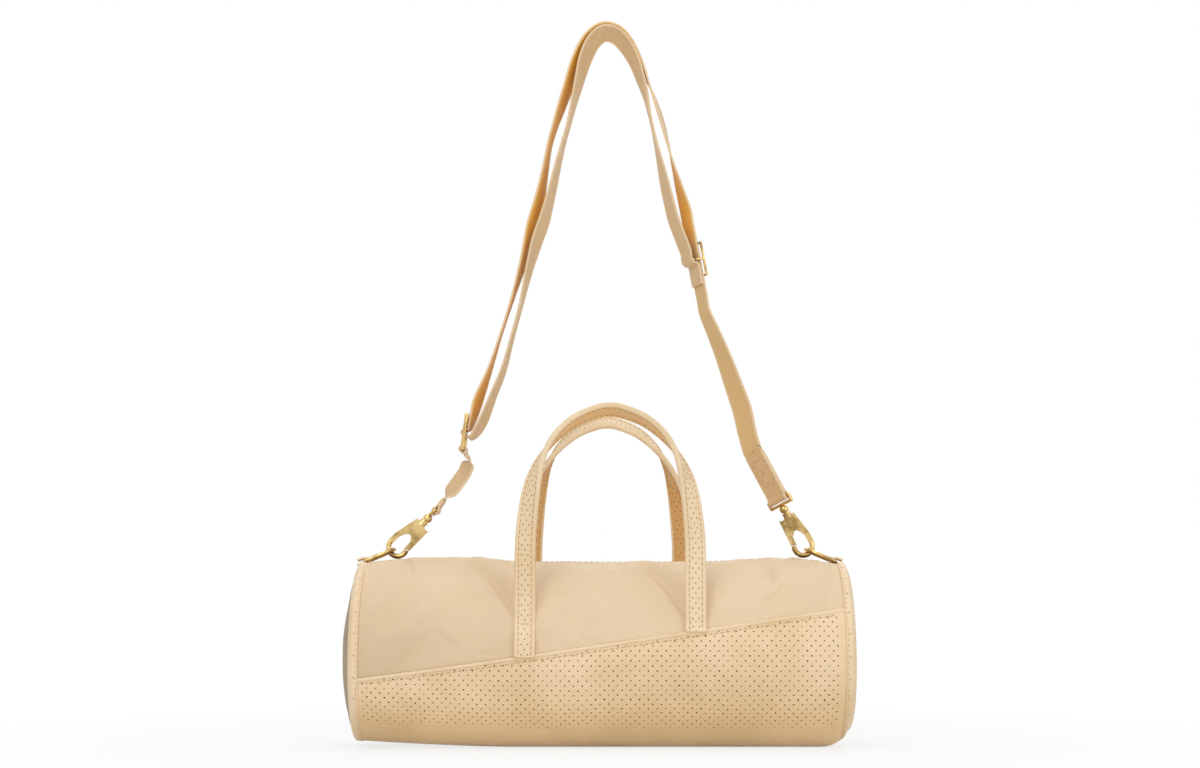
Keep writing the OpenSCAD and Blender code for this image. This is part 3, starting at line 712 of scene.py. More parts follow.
def make_cloth(name: str, colour: Colour, dark: Colour, pitch: float) -> Material:
    """A plain woven cloth.

    Args:
        name: the material's name.
        colour, dark: the threads' colour, and a darker one for random patches and for painted shade between
            the threads.
        pitch: the distance between threads, in millimetres.

    Returns:
        The material.
    """
    s = Shader(name, colour, 0.8)
    weave = s.weave(2 * math.pi / pitch)
    s.mottle(30, 4, 0.35, 0.7, 0.35, dark)
    # Painted shade between the threads
    s.shade(s.ramp(weave, -0.6, 0.6, 0.3, 0.0), dark)
    s.bump(weave, 0.00008, 0.6)
    s.bump(s.noise(60, 3), 0.0006, 0.25)
    s.rough(s.noise(300, 2), 0.74, 0.9)
    s.sheen(0.1, 0.5, (1.0, 0.95, 0.9))
    return s.material


def make_webbing(
    name: str, colour: Colour, dark: Colour, single_from: float | None = None
) -> Material:
    """Close-woven webbing with a faint herringbone, firm selvedges and a painted highlight along its edges.

    Args:
        name: the material's name.
        colour, dark: the threads' colour, and a darker one for random patches and for painted shade between
            the threads.
        single_from: the length in millimetres past which the strap is single, and the painted shade of the
            doubled loop gives way to plain tan.

    Returns:
        The material.
    """
    s = Shader(name, colour, 0.55)
    u, v = s.uv_mm()
    aside = s.math("ABSOLUTE", u)
    twill = s.math("SINE", s.math("MULTIPLY", s.math("ADD", v, aside), 5.2))
    ribs = s.math("SINE", s.math("MULTIPLY", u, 12.5))
    edge = s.ramp(aside, 5.9, 6.4, 0.0, 1.0)
    s.mottle(26, 4, 0.35, 0.7, 0.35, dark)
    # Painted shade in the herringbone's hollows
    s.shade(s.ramp(twill, -0.9, 0.9, 0.2, 0.0), dark)
    if single_from:
        # Past the adjuster the strap is single, and its painted shade gives way to plain tan
        s.shade(s.ramp(v, single_from - 18, single_from + 6, 0.0, 1.0), srgb(221, 184, 128))
    # Painted highlight along both edges of each face
    s.shade(s.math("MULTIPLY", edge, 0.6), LEATHER_LIGHT)
    s.bump(twill, 0.00007, 0.5)
    s.bump(ribs, 0.00003, 0.5)
    s.rough(s.noise(400, 2), 0.48, 0.62)
    s.sheen(0.15, 0.35, (1.0, 0.93, 0.82))
    return s.material


def make_gold() -> Material:
    """Polished warm gold plating with soft scuffs and painted patches of light and dark reflection."""
    s = Shader("gold_plate", (0.72, 0.5, 0.21), 0.2, 1.0)
    # Painted reflections: patches from pale to deep olive gold, a centimetre or so across
    s.mottle(95, 1.5, 0.42, 0.6, 0.85, (0.3, 0.19, 0.06))
    s.mottle(240, 3, 0.5, 0.75, 0.5, (0.86, 0.68, 0.36))
    s.bump(s.noise(1400, 3, 0.6), 0.00001, 0.3)
    s.bump(s.noise(220, 2), 0.00005, 0.1)
    s.rough(s.noise(420, 4), 0.13, 0.25)
    return s.material


def make_thread() -> Material:
    """Pale twisted sewing thread."""
    s = Shader("sewing_thread", srgb(208, 174, 126), 0.6)
    s.mottle(1600, 2, 0.35, 0.7, 0.6, srgb(168, 130, 84))
    s.bump(s.noise(3200, 2), 0.00008, 0.6)
    s.sheen(0.2, 0.4, (1.0, 0.95, 0.88))
    return s.material


def make_board() -> Material:
    """The stiff board in the base."""
    s = Shader("base_board", srgb(120, 108, 92), 0.8)
    s.mottle(90, 4, 0.35, 0.7, 0.6, srgb(96, 84, 70))
    s.bump(s.noise(900, 3), 0.0002, 0.5)
    return s.material


def make_finishes() -> Finishes:
    """Builds every material once."""
    return Finishes(
        nylon=make_nylon(),
        leather=make_leather("grained_leather", LEATHER),
        punched=make_leather("punched_leather", LEATHER, body=True),
        handle=make_punched("handle_leather", LEATHER_LIGHT, HANDLE_HOLES),
        binding=make_punched("binding_leather", LEATHER_LIGHT, BINDING_HOLES),
        hole=make_hole(),
        # Painted shade: the ends' cloth is a darker grey-brown than the nylon of the sides
        end_cloth=make_cloth("end_cloth", srgb(176, 156, 130), srgb(142, 122, 98), 0.7),
        lining=make_cloth("lining_cloth", srgb(178, 158, 130), srgb(140, 120, 94), 0.8),
        tape=make_cloth("zip_tape", srgb(205, 176, 136), srgb(172, 142, 102), 0.6),
        webbing=make_webbing("webbing_face", WEB, srgb(204, 164, 112)),
        webbing_shaded=make_webbing(
            "webbing_shaded_face", WEB_SHADED, srgb(230, 162, 46), STRAP_SINGLE_FROM
        ),
        base=make_leather("base_leather", LEATHER, body=True),
        handle_edge=make_leather("handle_edge_leather", LEATHER_LIGHT),
        handle_inner_shade=make_leather("handle_inner_leather", LEATHER_INNER_SHADE),
        handle_back_shade=make_punched("back_handle_shade_leather", LEATHER_BACK_SHADE, HANDLE_HOLES),
        thread=make_thread(),
        gold=make_gold(),
        board=make_board(),
    )


# Shape of the body


@dataclass(frozen=True)
class Crease:
    """A soft fold of the cloth between two places given as x and degrees from the top."""

    x0: float
    a0: float
    x1: float
    a1: float
    depth: float
    width: float

    def offset(self, x: np.ndarray, angle: np.ndarray, radius: float) -> np.ndarray:
        """How far the fold lifts the cloth, in millimetres, below 0 in its valley."""
        arc = radius * math.pi / 180
        ex, ey = self.x1 - self.x0, (self.a1 - self.a0) * arc
        length = math.hypot(ex, ey)
        px, py = x - self.x0, (angle - self.a0) * arc
        along = (px * ex + py * ey) / length**2
        aside = (px * ey - py * ex) / length
        bend = self.width * 0.5 * np.sin(np.clip(along, 0, 1) * math.pi)
        d = aside - bend
        window = smoothstep(-0.25, 0.2, along) * (1 - smoothstep(0.75, 1.3, along))
        valley = -np.exp(-((d / self.width) ** 2))
        ridge = 0.7 * np.exp(-(((d - 1.9 * self.width) / (1.5 * self.width)) ** 2))
        return self.depth * window * (valley + ridge)


@dataclass(frozen=True)
class BodyShape:
    """The body's round section, flattened underneath, with the way its cloth swells and sags."""

    length: float = 292
    radius: float = 56
    sink: float = 3
    leather: float = 0.5
    seam_mid: float = 61
    seam_slope: float = 8.3
    base_top: float = 11
    zip_gap: float = 12
    corner: float = 15
    bulge: float = 8.0
    rim: float = -1.2
    cloth_half: float = 144.3
    right_extra: float = 2.4
    right_flat: float = 3.0

    @property
    def half(self) -> float:
        """Half the length between the end seams."""
        return self.length / 2

    @property
    def axis(self) -> float:
        """Height of the round's middle."""
        return self.radius - self.sink

    @property
    def leather_r(self) -> float:
        """Outside radius of the leather."""
        return self.radius + self.leather

    def seam_z(self, x: np.ndarray | float) -> np.ndarray:
        """Height of the diagonal seam."""
        return self.seam_mid + np.asarray(x, float) * math.tan(math.radians(self.seam_slope))

    def seam_angle(self, x: np.ndarray | float) -> np.ndarray:
        """Degrees from the top down to the diagonal seam."""
        return np.degrees(np.arccos((self.seam_z(x) - self.axis) / self.leather_r))

    def cloth_x(self, count: int) -> np.ndarray:
        """Places along the cloth, from end to end."""
        return np.linspace(-self.cloth_half, self.cloth_half + self.right_extra, count)

    def lift(self, x: np.ndarray, z: np.ndarray) -> np.ndarray:
        """How far the underside is drawn up: the left end, and the right end's rounded corner."""
        left = 4.2 * np.clip((-52 - x) / 96, 0, 1.1) ** 1.5
        corner = np.clip((np.asarray(x, float) - self.half + self.corner) / self.corner, 0, 0.98)
        right = 0.8 * self.corner * (1 - np.sqrt(1 - corner**2))
        return left * np.clip(1 - z / 70, 0, 1) ** 1.5 + right * np.clip(1 - z / 42, 0, 1) ** 1.5

    def at(
        self, side: int, x: np.ndarray, angle: np.ndarray, proud: np.ndarray | float
    ) -> np.ndarray:
        """Points of the body.

        Args:
            side: -1 for the front and 1 for the back.
            x: distances along the bag.
            angle: degrees from the top.
            proud: distances outside the nylon's nominal radius.

        Returns:
            The points, with a last axis of three.
        """
        a = np.radians(angle)
        r = self.radius + np.asarray(proud, float)
        y = r * np.sin(a)
        z = self.axis + r * np.cos(a)
        # The underside goes over softly into a flat
        z = np.where(z < 30, 0.5 * (z + np.sqrt(z * z + 6)) - 0.3, z)
        z = z + self.lift(x, z)
        return np.stack(np.broadcast_arrays(x, side * y, z), axis=-1)

    def ends(self, x: np.ndarray, reach: float = 16) -> np.ndarray:
        """1 along the body, going to 0 at the end seams."""
        return smoothstep(0, reach, self.half - 4 - np.abs(x))

    def nylon_swell(self, side: int, x: np.ndarray, angle: np.ndarray) -> np.ndarray:
        """How far the padded nylon stands out."""
        crown = np.interp(
            x,
            [-146, -134, -116, -97, -72, -48, 0, 30, 61, 85, 103, 124, 146],
            [0, 2.2, 3.7, 4.4, 3.6, 2.1, 1.6, 1.6, 1.5, 2.4, 3.2, 2.6, 0],
        )
        top = crown * np.exp(-(((angle - 12) / 15) ** 2)) * smoothstep(0, 8, angle - 3)
        seam = self.seam_angle(x) - angle
        hold = smoothstep(0, 20, seam) * self.ends(x)
        broad = 1.3 * np.sin(np.clip(seam, 0, 70) / 70 * math.pi) * hold
        waves = (
            0.55 * np.sin(x * 0.045 + angle * 0.05 + side)
            + 0.4 * np.sin(x * 0.11 - angle * 0.07 + 2.1 * side)
            + 0.22 * np.sin(x * 0.23 + angle * 0.11)
        )
        folds = sum(c.offset(x, angle, self.radius) for c in CREASES[side])
        waves = waves * smoothstep(4, 34, angle)
        return top + broad + (waves + folds) * hold

    def leather_swell(self, side: int, x: np.ndarray, angle: np.ndarray) -> np.ndarray:
        """How far the leather stands out beyond its nominal radius."""
        seam = angle - self.seam_angle(x)
        hold = smoothstep(0, 16, seam) * self.ends(x) * (1 - smoothstep(118, 140, angle))
        waves = (
            0.5 * np.sin(x * 0.05 + angle * 0.04 + 1.3 * side)
            + 0.35 * np.sin(x * 0.13 + angle * 0.09)
            + 0.2 * np.sin(x * 0.27 - angle * 0.12 + side)
        )
        folds = sum(c.offset(x, angle, self.radius) for c in LEATHER_CREASES[side])
        return self.leather + (0.9 + waves + folds) * hold

    def extra(self, end: int) -> float:
        """How much further out that end's seam lies than the left one's."""
        return self.right_extra if end > 0 else 0.0

    def dome_x(self, end: int, share: float) -> float:
        """How far out an end panel lies at a share of its radius."""
        swell = self.bulge - (self.right_flat if end > 0 else 0.0) - self.rim
        return self.half + self.rim + self.extra(end) * share**2 + swell * (1 - share**2)


CREASES: dict[int, tuple[Crease, ...]] = {
    -1: (
        Crease(-78, 20, -50, 60, 2.5, 3.9),
        Crease(25, 26, 49, 60, 2.2, 3.7),
        Crease(-117, 14, -112, 34, 1.2, 2.4),
        Crease(-96, 74, -80, 90, 1.0, 3.0),
        Crease(92, 18, 100, 40, 0.8, 5.0),
        Crease(-26, 60, -6, 84, 0.6, 6.0),
    ),
    1: (
        Crease(70, 10, 46, 50, 1.6, 4.5),
        Crease(-20, 20, -42, 60, 1.4, 5.0),
        Crease(112, 4, 106, 30, 1.0, 3.0),
    ),
}
LEATHER_CREASES: dict[int, tuple[Crease, ...]] = {
    -1: (
        Crease(128, 98, 140, 120, 0.9, 4.5),
        Crease(-128, 108, -112, 124, 0.6, 5.0),
        Crease(20, 110, 60, 118, 0.4, 6.0),
    ),
    1: (Crease(-126, 98, -138, 118, 0.8, 4.5), Crease(60, 108, 20, 118, 0.5, 6.0)),
}


HOLE_PITCH_X, HOLE_PITCH_S, HOLE_RADIUS, HOLE_DEPTH = 5.08, 2.84, 0.42, 0.9
# The twelve points round a brick of leather with one hole, in quarters and halves of the pitches
BRICK = (
    (-2, -1), (-1, -1), (0, -1), (1, -1), (2, -1), (2, 0),
    (2, 1), (1, 1), (0, 1), (-1, 1), (-2, 1), (-2, 0),
)
# Places down the leather and out of it
LIP_PROFILE = (
    (-0.95, -0.25), (-0.95, 0.35), (-0.6, 0.8), (0.0, 1.0), (0.65, 0.85), (1.05, 0.45), (1.25, -0.15),
)
# Places along the bag and out of the nylon
BINDING_PROFILE = (
    (140.0, 0.1), (139.7, 0.6), (139.9, 1.1), (140.5, 1.5), (141.2, 1.7), (142.1, 1.75), (143.0, 1.6),
    (143.8, 1.15), (144.4, 0.4), (144.9, -0.6), (145.4, -1.8), (145.9, -3.0), (146.1, -4.0),
    (145.2, -4.6),
)
# Distance from the middle and height of a zip tape's profile
TAPE_PROFILE = (
    (1.3, -0.55), (1.2, 0.05), (1.6, 0.3), (2.4, 0.3), (2.9, 0.02), (4.5, 0.0), (7.0, 0.0), (9.4, 0.0),
    (9.4, -0.5),
)


class SoftBody:
    """Cloth, leather, bindings and seams of the body."""

    def __init__(self, shape: BodyShape, finishes: Finishes) -> None:
        self.shape = shape
        self.finishes = finishes
        self.settling = Settling()

    def sewn_row(
        self, name: str, side: int, swell: Swell, x: np.ndarray, angle: np.ndarray, inset: int = 0
    ) -> None:
        """Sews a row of stitches on the dressed surface.

        Args:
            name: the piece's name.
            side: -1 for the front and 1 for the back.
            swell: how far the surface stands out, from side, x and angle.
            x, angle: the row's places.
            inset: how many places are left out at each end.
        """
        proud = swell(side, x, angle)
        line, raised = (self.shape.at(side, x, angle, proud + out) for out in (0.0, 1.0))
        kept = slice(inset, len(x) - inset)
        bm = bmesh.new()
        Thread().sew(bm, line[kept], (raised - line)[kept])
        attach(finish_mesh(name, bm, self.finishes.thread), "bag")

    def upper_panel(self, side: Side) -> None:
        """The padded nylon from the zip down to the diagonal seam, settled as cloth."""
        shape, s = self.shape, side.value
        x = shape.cloth_x(170)
        zip_angle = math.degrees(math.asin(shape.zip_gap / 2 / shape.radius))
        rows, turned_rows = 62, 4
        points, uvs = [], []
        for k in range(-turned_rows, rows + 1):
            q = max(k, 0) / rows
            angle = zip_angle + q * (shape.seam_angle(x) + 0.8 - zip_angle)
            proud = shape.nylon_swell(s, x, angle)
            if k < 0:
                # The edge along the zip is folded under
                turn = -k / turned_rows * math.pi
                proud = proud - 0.75 * (1 - math.cos(turn))
                angle = angle - 0.7 * math.sin(turn) + (0.9 if k == -turned_rows else 0)
            points.append(shape.at(s, x, angle, proud))
            uvs.append(uv_row(x, q * 70))
        bm = bmesh.new()
        grid(bm, np.array(points), np.array(uvs), flip=s > 0)
        obj = finish_mesh(f"upper_{side.word}_cloth", bm, self.finishes.nylon, 60)
        self.settling.run(obj, lambda at: self.cloth_limit(side, at))
        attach(obj, "bag")
        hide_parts(f"upper_{side.word}_panel")

    def cloth_limit(self, side: Side, at: np.ndarray) -> np.ndarray:
        """How far the nylon may move: not at all at its seams and under the handles' tails."""
        x, y, z = at.T
        free = smoothstep(1, 15, z - self.shape.seam_z(x)) * smoothstep(7, 17, np.abs(y))
        free = free * smoothstep(0, 18, self.shape.cloth_half - 3 - np.abs(x))
        spread, middle = HANDLE_SPREADS[side]
        for way in (-1, 1):
            free = free * smoothstep(7, 17, np.abs(x - middle - way * spread / 2))
        return CLOTH_REACH * free

    def punched_panel(self, side: Side) -> None:
        """Leather with real holes, cut along the diagonal seam and above the base."""
        shape, s = self.shape, side.value
        arc = shape.leather_r * math.pi / 180
        rng = np.random.default_rng(11 + s)
        bm = bmesh.new()
        layer = uv_layer(bm)
        cache: dict[tuple[int, int], bmesh.types.BMVert] = {}
        spots: dict[bmesh.types.BMVert, tuple[float, float]] = {}
        holes: list[list[bmesh.types.BMVert]] = []
        first_angle = float(shape.seam_angle(shape.half)) - 4
        last_angle = math.degrees(math.acos((shape.base_top - 6 - shape.axis) / shape.leather_r))
        first_row = int(first_angle * arc / HOLE_PITCH_S)
        last_row = int(last_angle * arc / HOLE_PITCH_S) + 1
        quarter, half_s = HOLE_PITCH_X / 4, HOLE_PITCH_S / 2
        half_count = int(shape.half / HOLE_PITCH_X) + 1

        def place(u: float, v: float) -> bmesh.types.BMVert:
            x = np.clip(u, -shape.cloth_half, shape.cloth_half + shape.right_extra)
            angle = v / arc
            vert = bm.verts.new(shape.at(s, x, angle, shape.leather_swell(s, x, angle)))
            spots[vert] = (u, v)
            return vert

        def face(corners: list[bmesh.types.BMVert]) -> bmesh.types.BMFace:
            return bm.faces.new(corners if s < 0 else corners[::-1])

        for row in range(first_row, last_row):
            odd = row % 2
            v0 = (row + 0.5) * HOLE_PITCH_S
            z = shape.axis + shape.leather_r * math.cos(math.radians(v0 / arc))
            for column in range(-half_count, half_count + 1):
                u0 = (column + 0.5 * odd) * HOLE_PITCH_X
                if abs(u0) > shape.half + HOLE_PITCH_X * 0.4:
                    continue
                ring = []
                for du, dv in BRICK:
                    key = (column * 4 + 2 * odd + du, 2 * row + 1 + dv)
                    if key not in cache:
                        cache[key] = place(key[0] * quarter, key[1] * half_s)
                    ring.append(cache[key])
                size = HOLE_RADIUS * (0.86 + 0.28 * rng.random())
                turns = [math.atan2(dv * half_s, du * quarter) for du, dv in BRICK]
                inner = [place(u0 + size * math.cos(t), v0 + size * math.sin(t)) for t in turns]
                for i in range(12):
                    face([ring[i], ring[(i + 1) % 12], inner[(i + 1) % 12], inner[i]])
                below_lip = float(shape.seam_z(u0)) - z
                if below_lip > 1.5 and z > shape.base_top + 1.2 and abs(u0) < shape.half - 7.5:
                    holes.append(inner)
                else:
                    face(inner)
        for one in bm.faces:
            one.smooth = True
            for loop in one.loops:
                u, v = spots[loop.vert]
                loop[layer].uv = (u / UV_UNIT, v / UV_UNIT)
        # Punched walls, going in square to the surface, and a scrap of backing below each, near-black as
        # painted shade
        for inner in holes:
            centre = sum((v.co for v in inner), Vector()) / 12
            inward = Vector((0, -centre.y, shape.axis - centre.z)).normalized()
            deep = [bm.verts.new(v.co + inward * HOLE_DEPTH) for v in inner]
            for i in range(12):
                wall = face([inner[i], inner[(i + 1) % 12], deep[(i + 1) % 12], deep[i]])
                wall.smooth = True
                wall.material_index = 1
            face(deep).material_index = 1
        slope = math.radians(shape.seam_slope)
        seam_cut = (shape.seam_mid + 0.2, (-math.sin(slope), 0, math.cos(slope)))
        base_cut = (shape.base_top + 1.3, (-0.02, 0, -1))
        for height, way in (seam_cut, base_cut):
            bmesh.ops.bisect_plane(
                bm, geom=[*bm.verts, *bm.edges, *bm.faces], plane_co=(0, 0, height), plane_no=way,
                clear_outer=True,
            )
        bmesh.ops.remove_doubles(bm, verts=bm.verts, dist=0.0005)
        materials = [self.finishes.punched, self.finishes.hole]
        obj = finish_mesh(f"{side.word}_punched_leather", bm, materials, 50)
        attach(obj, "bag")
        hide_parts(f"{side.word}_perforated_panel")

    def base(self) -> None:
        """Plain leather under the bag, up to the punched panels on both sides."""
        shape = self.shape
        x = shape.cloth_x(130)
        top = math.degrees(math.acos((shape.base_top + 3 - shape.axis) / shape.leather_r))
        points, uvs = [], []
        for angle in [*np.linspace(top, 179.99, 44), *np.linspace(180.01, 360 - top, 44)]:
            side, a = side_of(angle)
            proud = shape.leather - 0.06 * smoothstep(6, 0, a - top)
            points.append(shape.at(side, x, np.full_like(x, a), proud))
            uvs.append(uv_row(x, angle))
        bm = bmesh.new()
        grid(bm, np.array(points), np.array(uvs))
        bmesh.ops.recalc_face_normals(bm, faces=bm.faces)
        obj = finish_mesh("base_leather", bm, self.finishes.base, 60)
        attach(obj, "bag")
        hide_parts("base_panel")

    def seam_lip(self, side: Side) -> None:
        """The folded edge of the leather along the diagonal seam, with its row of stitches."""
        shape, s = self.shape, side.value
        x = np.linspace(-shape.half + 3.5, shape.half - 3.5, 200)
        wobble = 0.06 * np.sin(x * 0.9) + 0.05 * np.sin(x * 0.37 + 1)
        points, uvs = [], []
        for down, out in LIP_PROFILE:
            angle = shape.seam_angle(x) + np.degrees((down + 0.35) / shape.leather_r)
            points.append(shape.at(s, x, angle, shape.leather + out + wobble))
            uvs.append(uv_row(x, down))
        bm = bmesh.new()
        grid(bm, np.array(points), np.array(uvs), flip=s > 0)
        obj = finish_mesh(f"{side.word}_seam_lip", bm, self.finishes.binding, 60)
        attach(obj, "bag")
        angle = shape.seam_angle(x) + math.degrees(3.0 / shape.leather_r)
        self.sewn_row(f"{side.word}_seam_stitches", s, shape.leather_swell, x, angle, inset=3)

    def zip_edge_stitches(self, side: Side) -> None:
        """A row of stitches on the nylon beside the zip."""
        shape = self.shape
        x = np.linspace(-shape.half + 12, shape.half - 12, 200)
        aside = math.asin((shape.zip_gap / 2 + 2.2) / shape.radius)
        angle = np.full_like(x, math.degrees(aside))
        self.sewn_row(f"{side.word}_zip_stitches", side.value, shape.nylon_swell, x, angle)

    def rim_points(self, end: int, angle: np.ndarray, x: float, proud: float) -> np.ndarray:
        """Points round one end, at angles that go on round the underside."""
        place = np.array(end * (x + self.shape.extra(end)))
        made = []
        for a in angle:
            side, t = side_of(a)
            made.append(self.shape.at(side, place, np.array(t), proud))
        return np.array(made)

    def end_binding(self, end: End) -> None:
        """The leather folded over the end seam, with its stitches."""
        angle = np.linspace(10.2, 349.8, 260)
        points, uvs = [], []
        for k, (x, proud) in enumerate(BINDING_PROFILE):
            ripple = 0.05 * np.sin(angle * 0.7 + k)
            rows = (self.rim_points(end.value, [a], x, proud + r)[0] for a, r in zip(angle, ripple))
            points.append(np.array(list(rows)))
            uvs.append(np.stack([np.full_like(angle, (k - 5) * 1.0), angle * 0.98], axis=-1))
        bm = bmesh.new()
        grid(bm, np.array(points), np.array(uvs), flip=end.value > 0)
        bmesh.ops.recalc_face_normals(bm, faces=bm.faces)
        obj = finish_mesh(f"{end.word}_binding", bm, self.finishes.binding, 70)
        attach(obj, "bag")
        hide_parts(f"{end.word}_end_binding")
        bm = bmesh.new()
        line = self.rim_points(end.value, angle, 141.0, 1.6)
        out = self.rim_points(end.value, angle, 141.0, 2.6) - line
        Thread(2.2, 1.1, 0.24, 0.5).sew(bm, line[2:-2], out[2:-2])
        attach(finish_mesh(f"{end.word}_binding_stitches", bm, self.finishes.thread), "bag")

    def end_panel(self, end: End) -> None:
        """The domed cloth of one end, gathered a little inside its binding."""
        shape = self.shape
        angle = np.linspace(0, 360, 181)
        rim = self.rim_points(end.value, angle, shape.cloth_half, -1.6)
        centre = np.array([end.value * shape.half, 0, shape.axis])
        points, uvs = [], []
        for share in np.linspace(1.0, 0.0, 46) ** 0.8:
            pucker = 0.35 * np.cos(np.radians(angle * 26 + 20 * np.sin(np.radians(angle * 3))))
            pucker = pucker * smoothstep(0.6, 0.85, share) * (1 - smoothstep(0.88, 0.95, share))
            soft = 0.5 * math.sin(share * 7) * np.sin(np.radians(angle * 2 + 40))
            free = 1 if share < 0.995 else 0
            ring = centre + (rim - centre) * max(share, 0.002)
            ring[:, 0] = end.value * (shape.dome_x(end.value, share) + (pucker + soft * 0.6) * free)
            points.append(ring)
            uvs.append(ring[:, 1:3])
        bm = bmesh.new()
        grid(bm, np.array(points), np.array(uvs))
        bmesh.ops.remove_doubles(bm, verts=bm.verts, dist=0.02)
        bmesh.ops.recalc_face_normals(bm, faces=bm.faces)
        obj = finish_mesh(f"{end.word}_end_cloth", bm, self.finishes.end_cloth, 60)
        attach(obj, "bag")
        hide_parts(f"{end.word}_end_panel")

    def lining(self) -> None:
        """The cloth inside the bag."""
        shape = self.shape
        x = np.linspace(-shape.half + 2, shape.half - 2, 60)
        lowest = 4.6 + shape.lift(x, np.full_like(x, 4.6))
        points, uvs = [], []
        for angle in np.linspace(12, 348, 90):
            side, a = side_of(angle)
            proud = -3.4 + 0.3 * np.sin(x * 0.2 + angle * 0.1)
            row = shape.at(side, x, np.full_like(x, a), proud)
            row[:, 2] = np.maximum(row[:, 2], lowest)
            points.append(row)
            uvs.append(uv_row(x, angle))
        bm = bmesh.new()
        grid(bm, np.array(points), np.array(uvs))
        cap(bm)
        obj = finish_mesh("lining_cloth", bm, self.finishes.lining, 60)
        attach(obj, "bag")
        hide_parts("lining")

    def base_board(self) -> None:
        """The stiff board in the base, which follows the drawn-up end."""
        shape = self.shape
        x = np.linspace(-BOARD_LONG / 2, BOARD_LONG / 2, 60)
        h, low, high = BOARD_WIDE / 2, BOARD_LOW, BOARD_LOW + BOARD_THICK
        section = [(-h, low), (0, low), (h, low), (h, high), (0, high), (-h, high)]

        def lifted(a: float, z: float) -> float:
            return z + float(shape.lift(np.array(a), np.array(z)))

        rows = [[(a, y, lifted(a, z)) for y, z in section] for a in x]
        uvs = np.array([[(y, a) for y, _ in [*section, section[0]]] for a in x])
        bm = bmesh.new()
        grid(bm, np.array(rows), uvs, wrap=True)
        cap(bm)
        obj = finish_mesh("base_board_sheet", bm, self.finishes.board, 40)
        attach(obj, "bag")
        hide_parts("base_board")

    def zip_tapes(self) -> None:
        """Two woven tapes beside the teeth, each with a raised cord at its inner edge."""
        shape = self.shape
        x = np.linspace(-shape.half + 6, shape.half - 6, 150)
        bm = bmesh.new()
        for side in (-1, 1):
            points, uvs = [], []
            for y, rise in TAPE_PROFILE:
                z = shape.axis + math.sqrt((shape.radius - 2.1) ** 2 - y * y) + rise
                row = [x, np.full_like(x, side * y), z + 0.03 * np.sin(x * 0.8)]
                points.append(np.stack(row, axis=-1))
                uvs.append(uv_row(x, y))
            grid(bm, np.array(points), np.array(uvs), flip=side > 0)
        obj = finish_mesh("zip_tape_cloth", bm, self.finishes.tape, 60)
        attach(obj, "bag")
        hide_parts("zip_tapes")

    def build(self) -> None:
        """Makes every piece of the body."""
        for side in Side:
            self.upper_panel(side)
            self.punched_panel(side)
            self.seam_lip(side)
            self.zip_edge_stitches(side)
        self.base()
        for end in End:
            self.end_binding(end)
            self.end_panel(end)
        self.lining()
        self.base_board()
        self.zip_tapes()


# Handles


# From a root to the top: shares of the half spread and of the rise, and the turn in degrees
ARCH = (
    (1, 0.09, 0), (1, 0.18, 2), (1, 0.27, 6), (0.995, 0.37, 13), (0.975, 0.47, 20), (0.945, 0.57, 31),
    (0.895, 0.67, 50), (0.805, 0.77, 78), (0.65, 0.865, 102), (0.42, 0.945, 114), (0.16, 0.99, 119),
)
TOP_TURN = 120.0
LAST_SEWN = 27  # stations from an end of the strip to the row that ends its tail
BLEND_BELOW, BLEND_ABOVE = 12, 16  # distances in millimetres below and above the root of two points that the handle's build works out
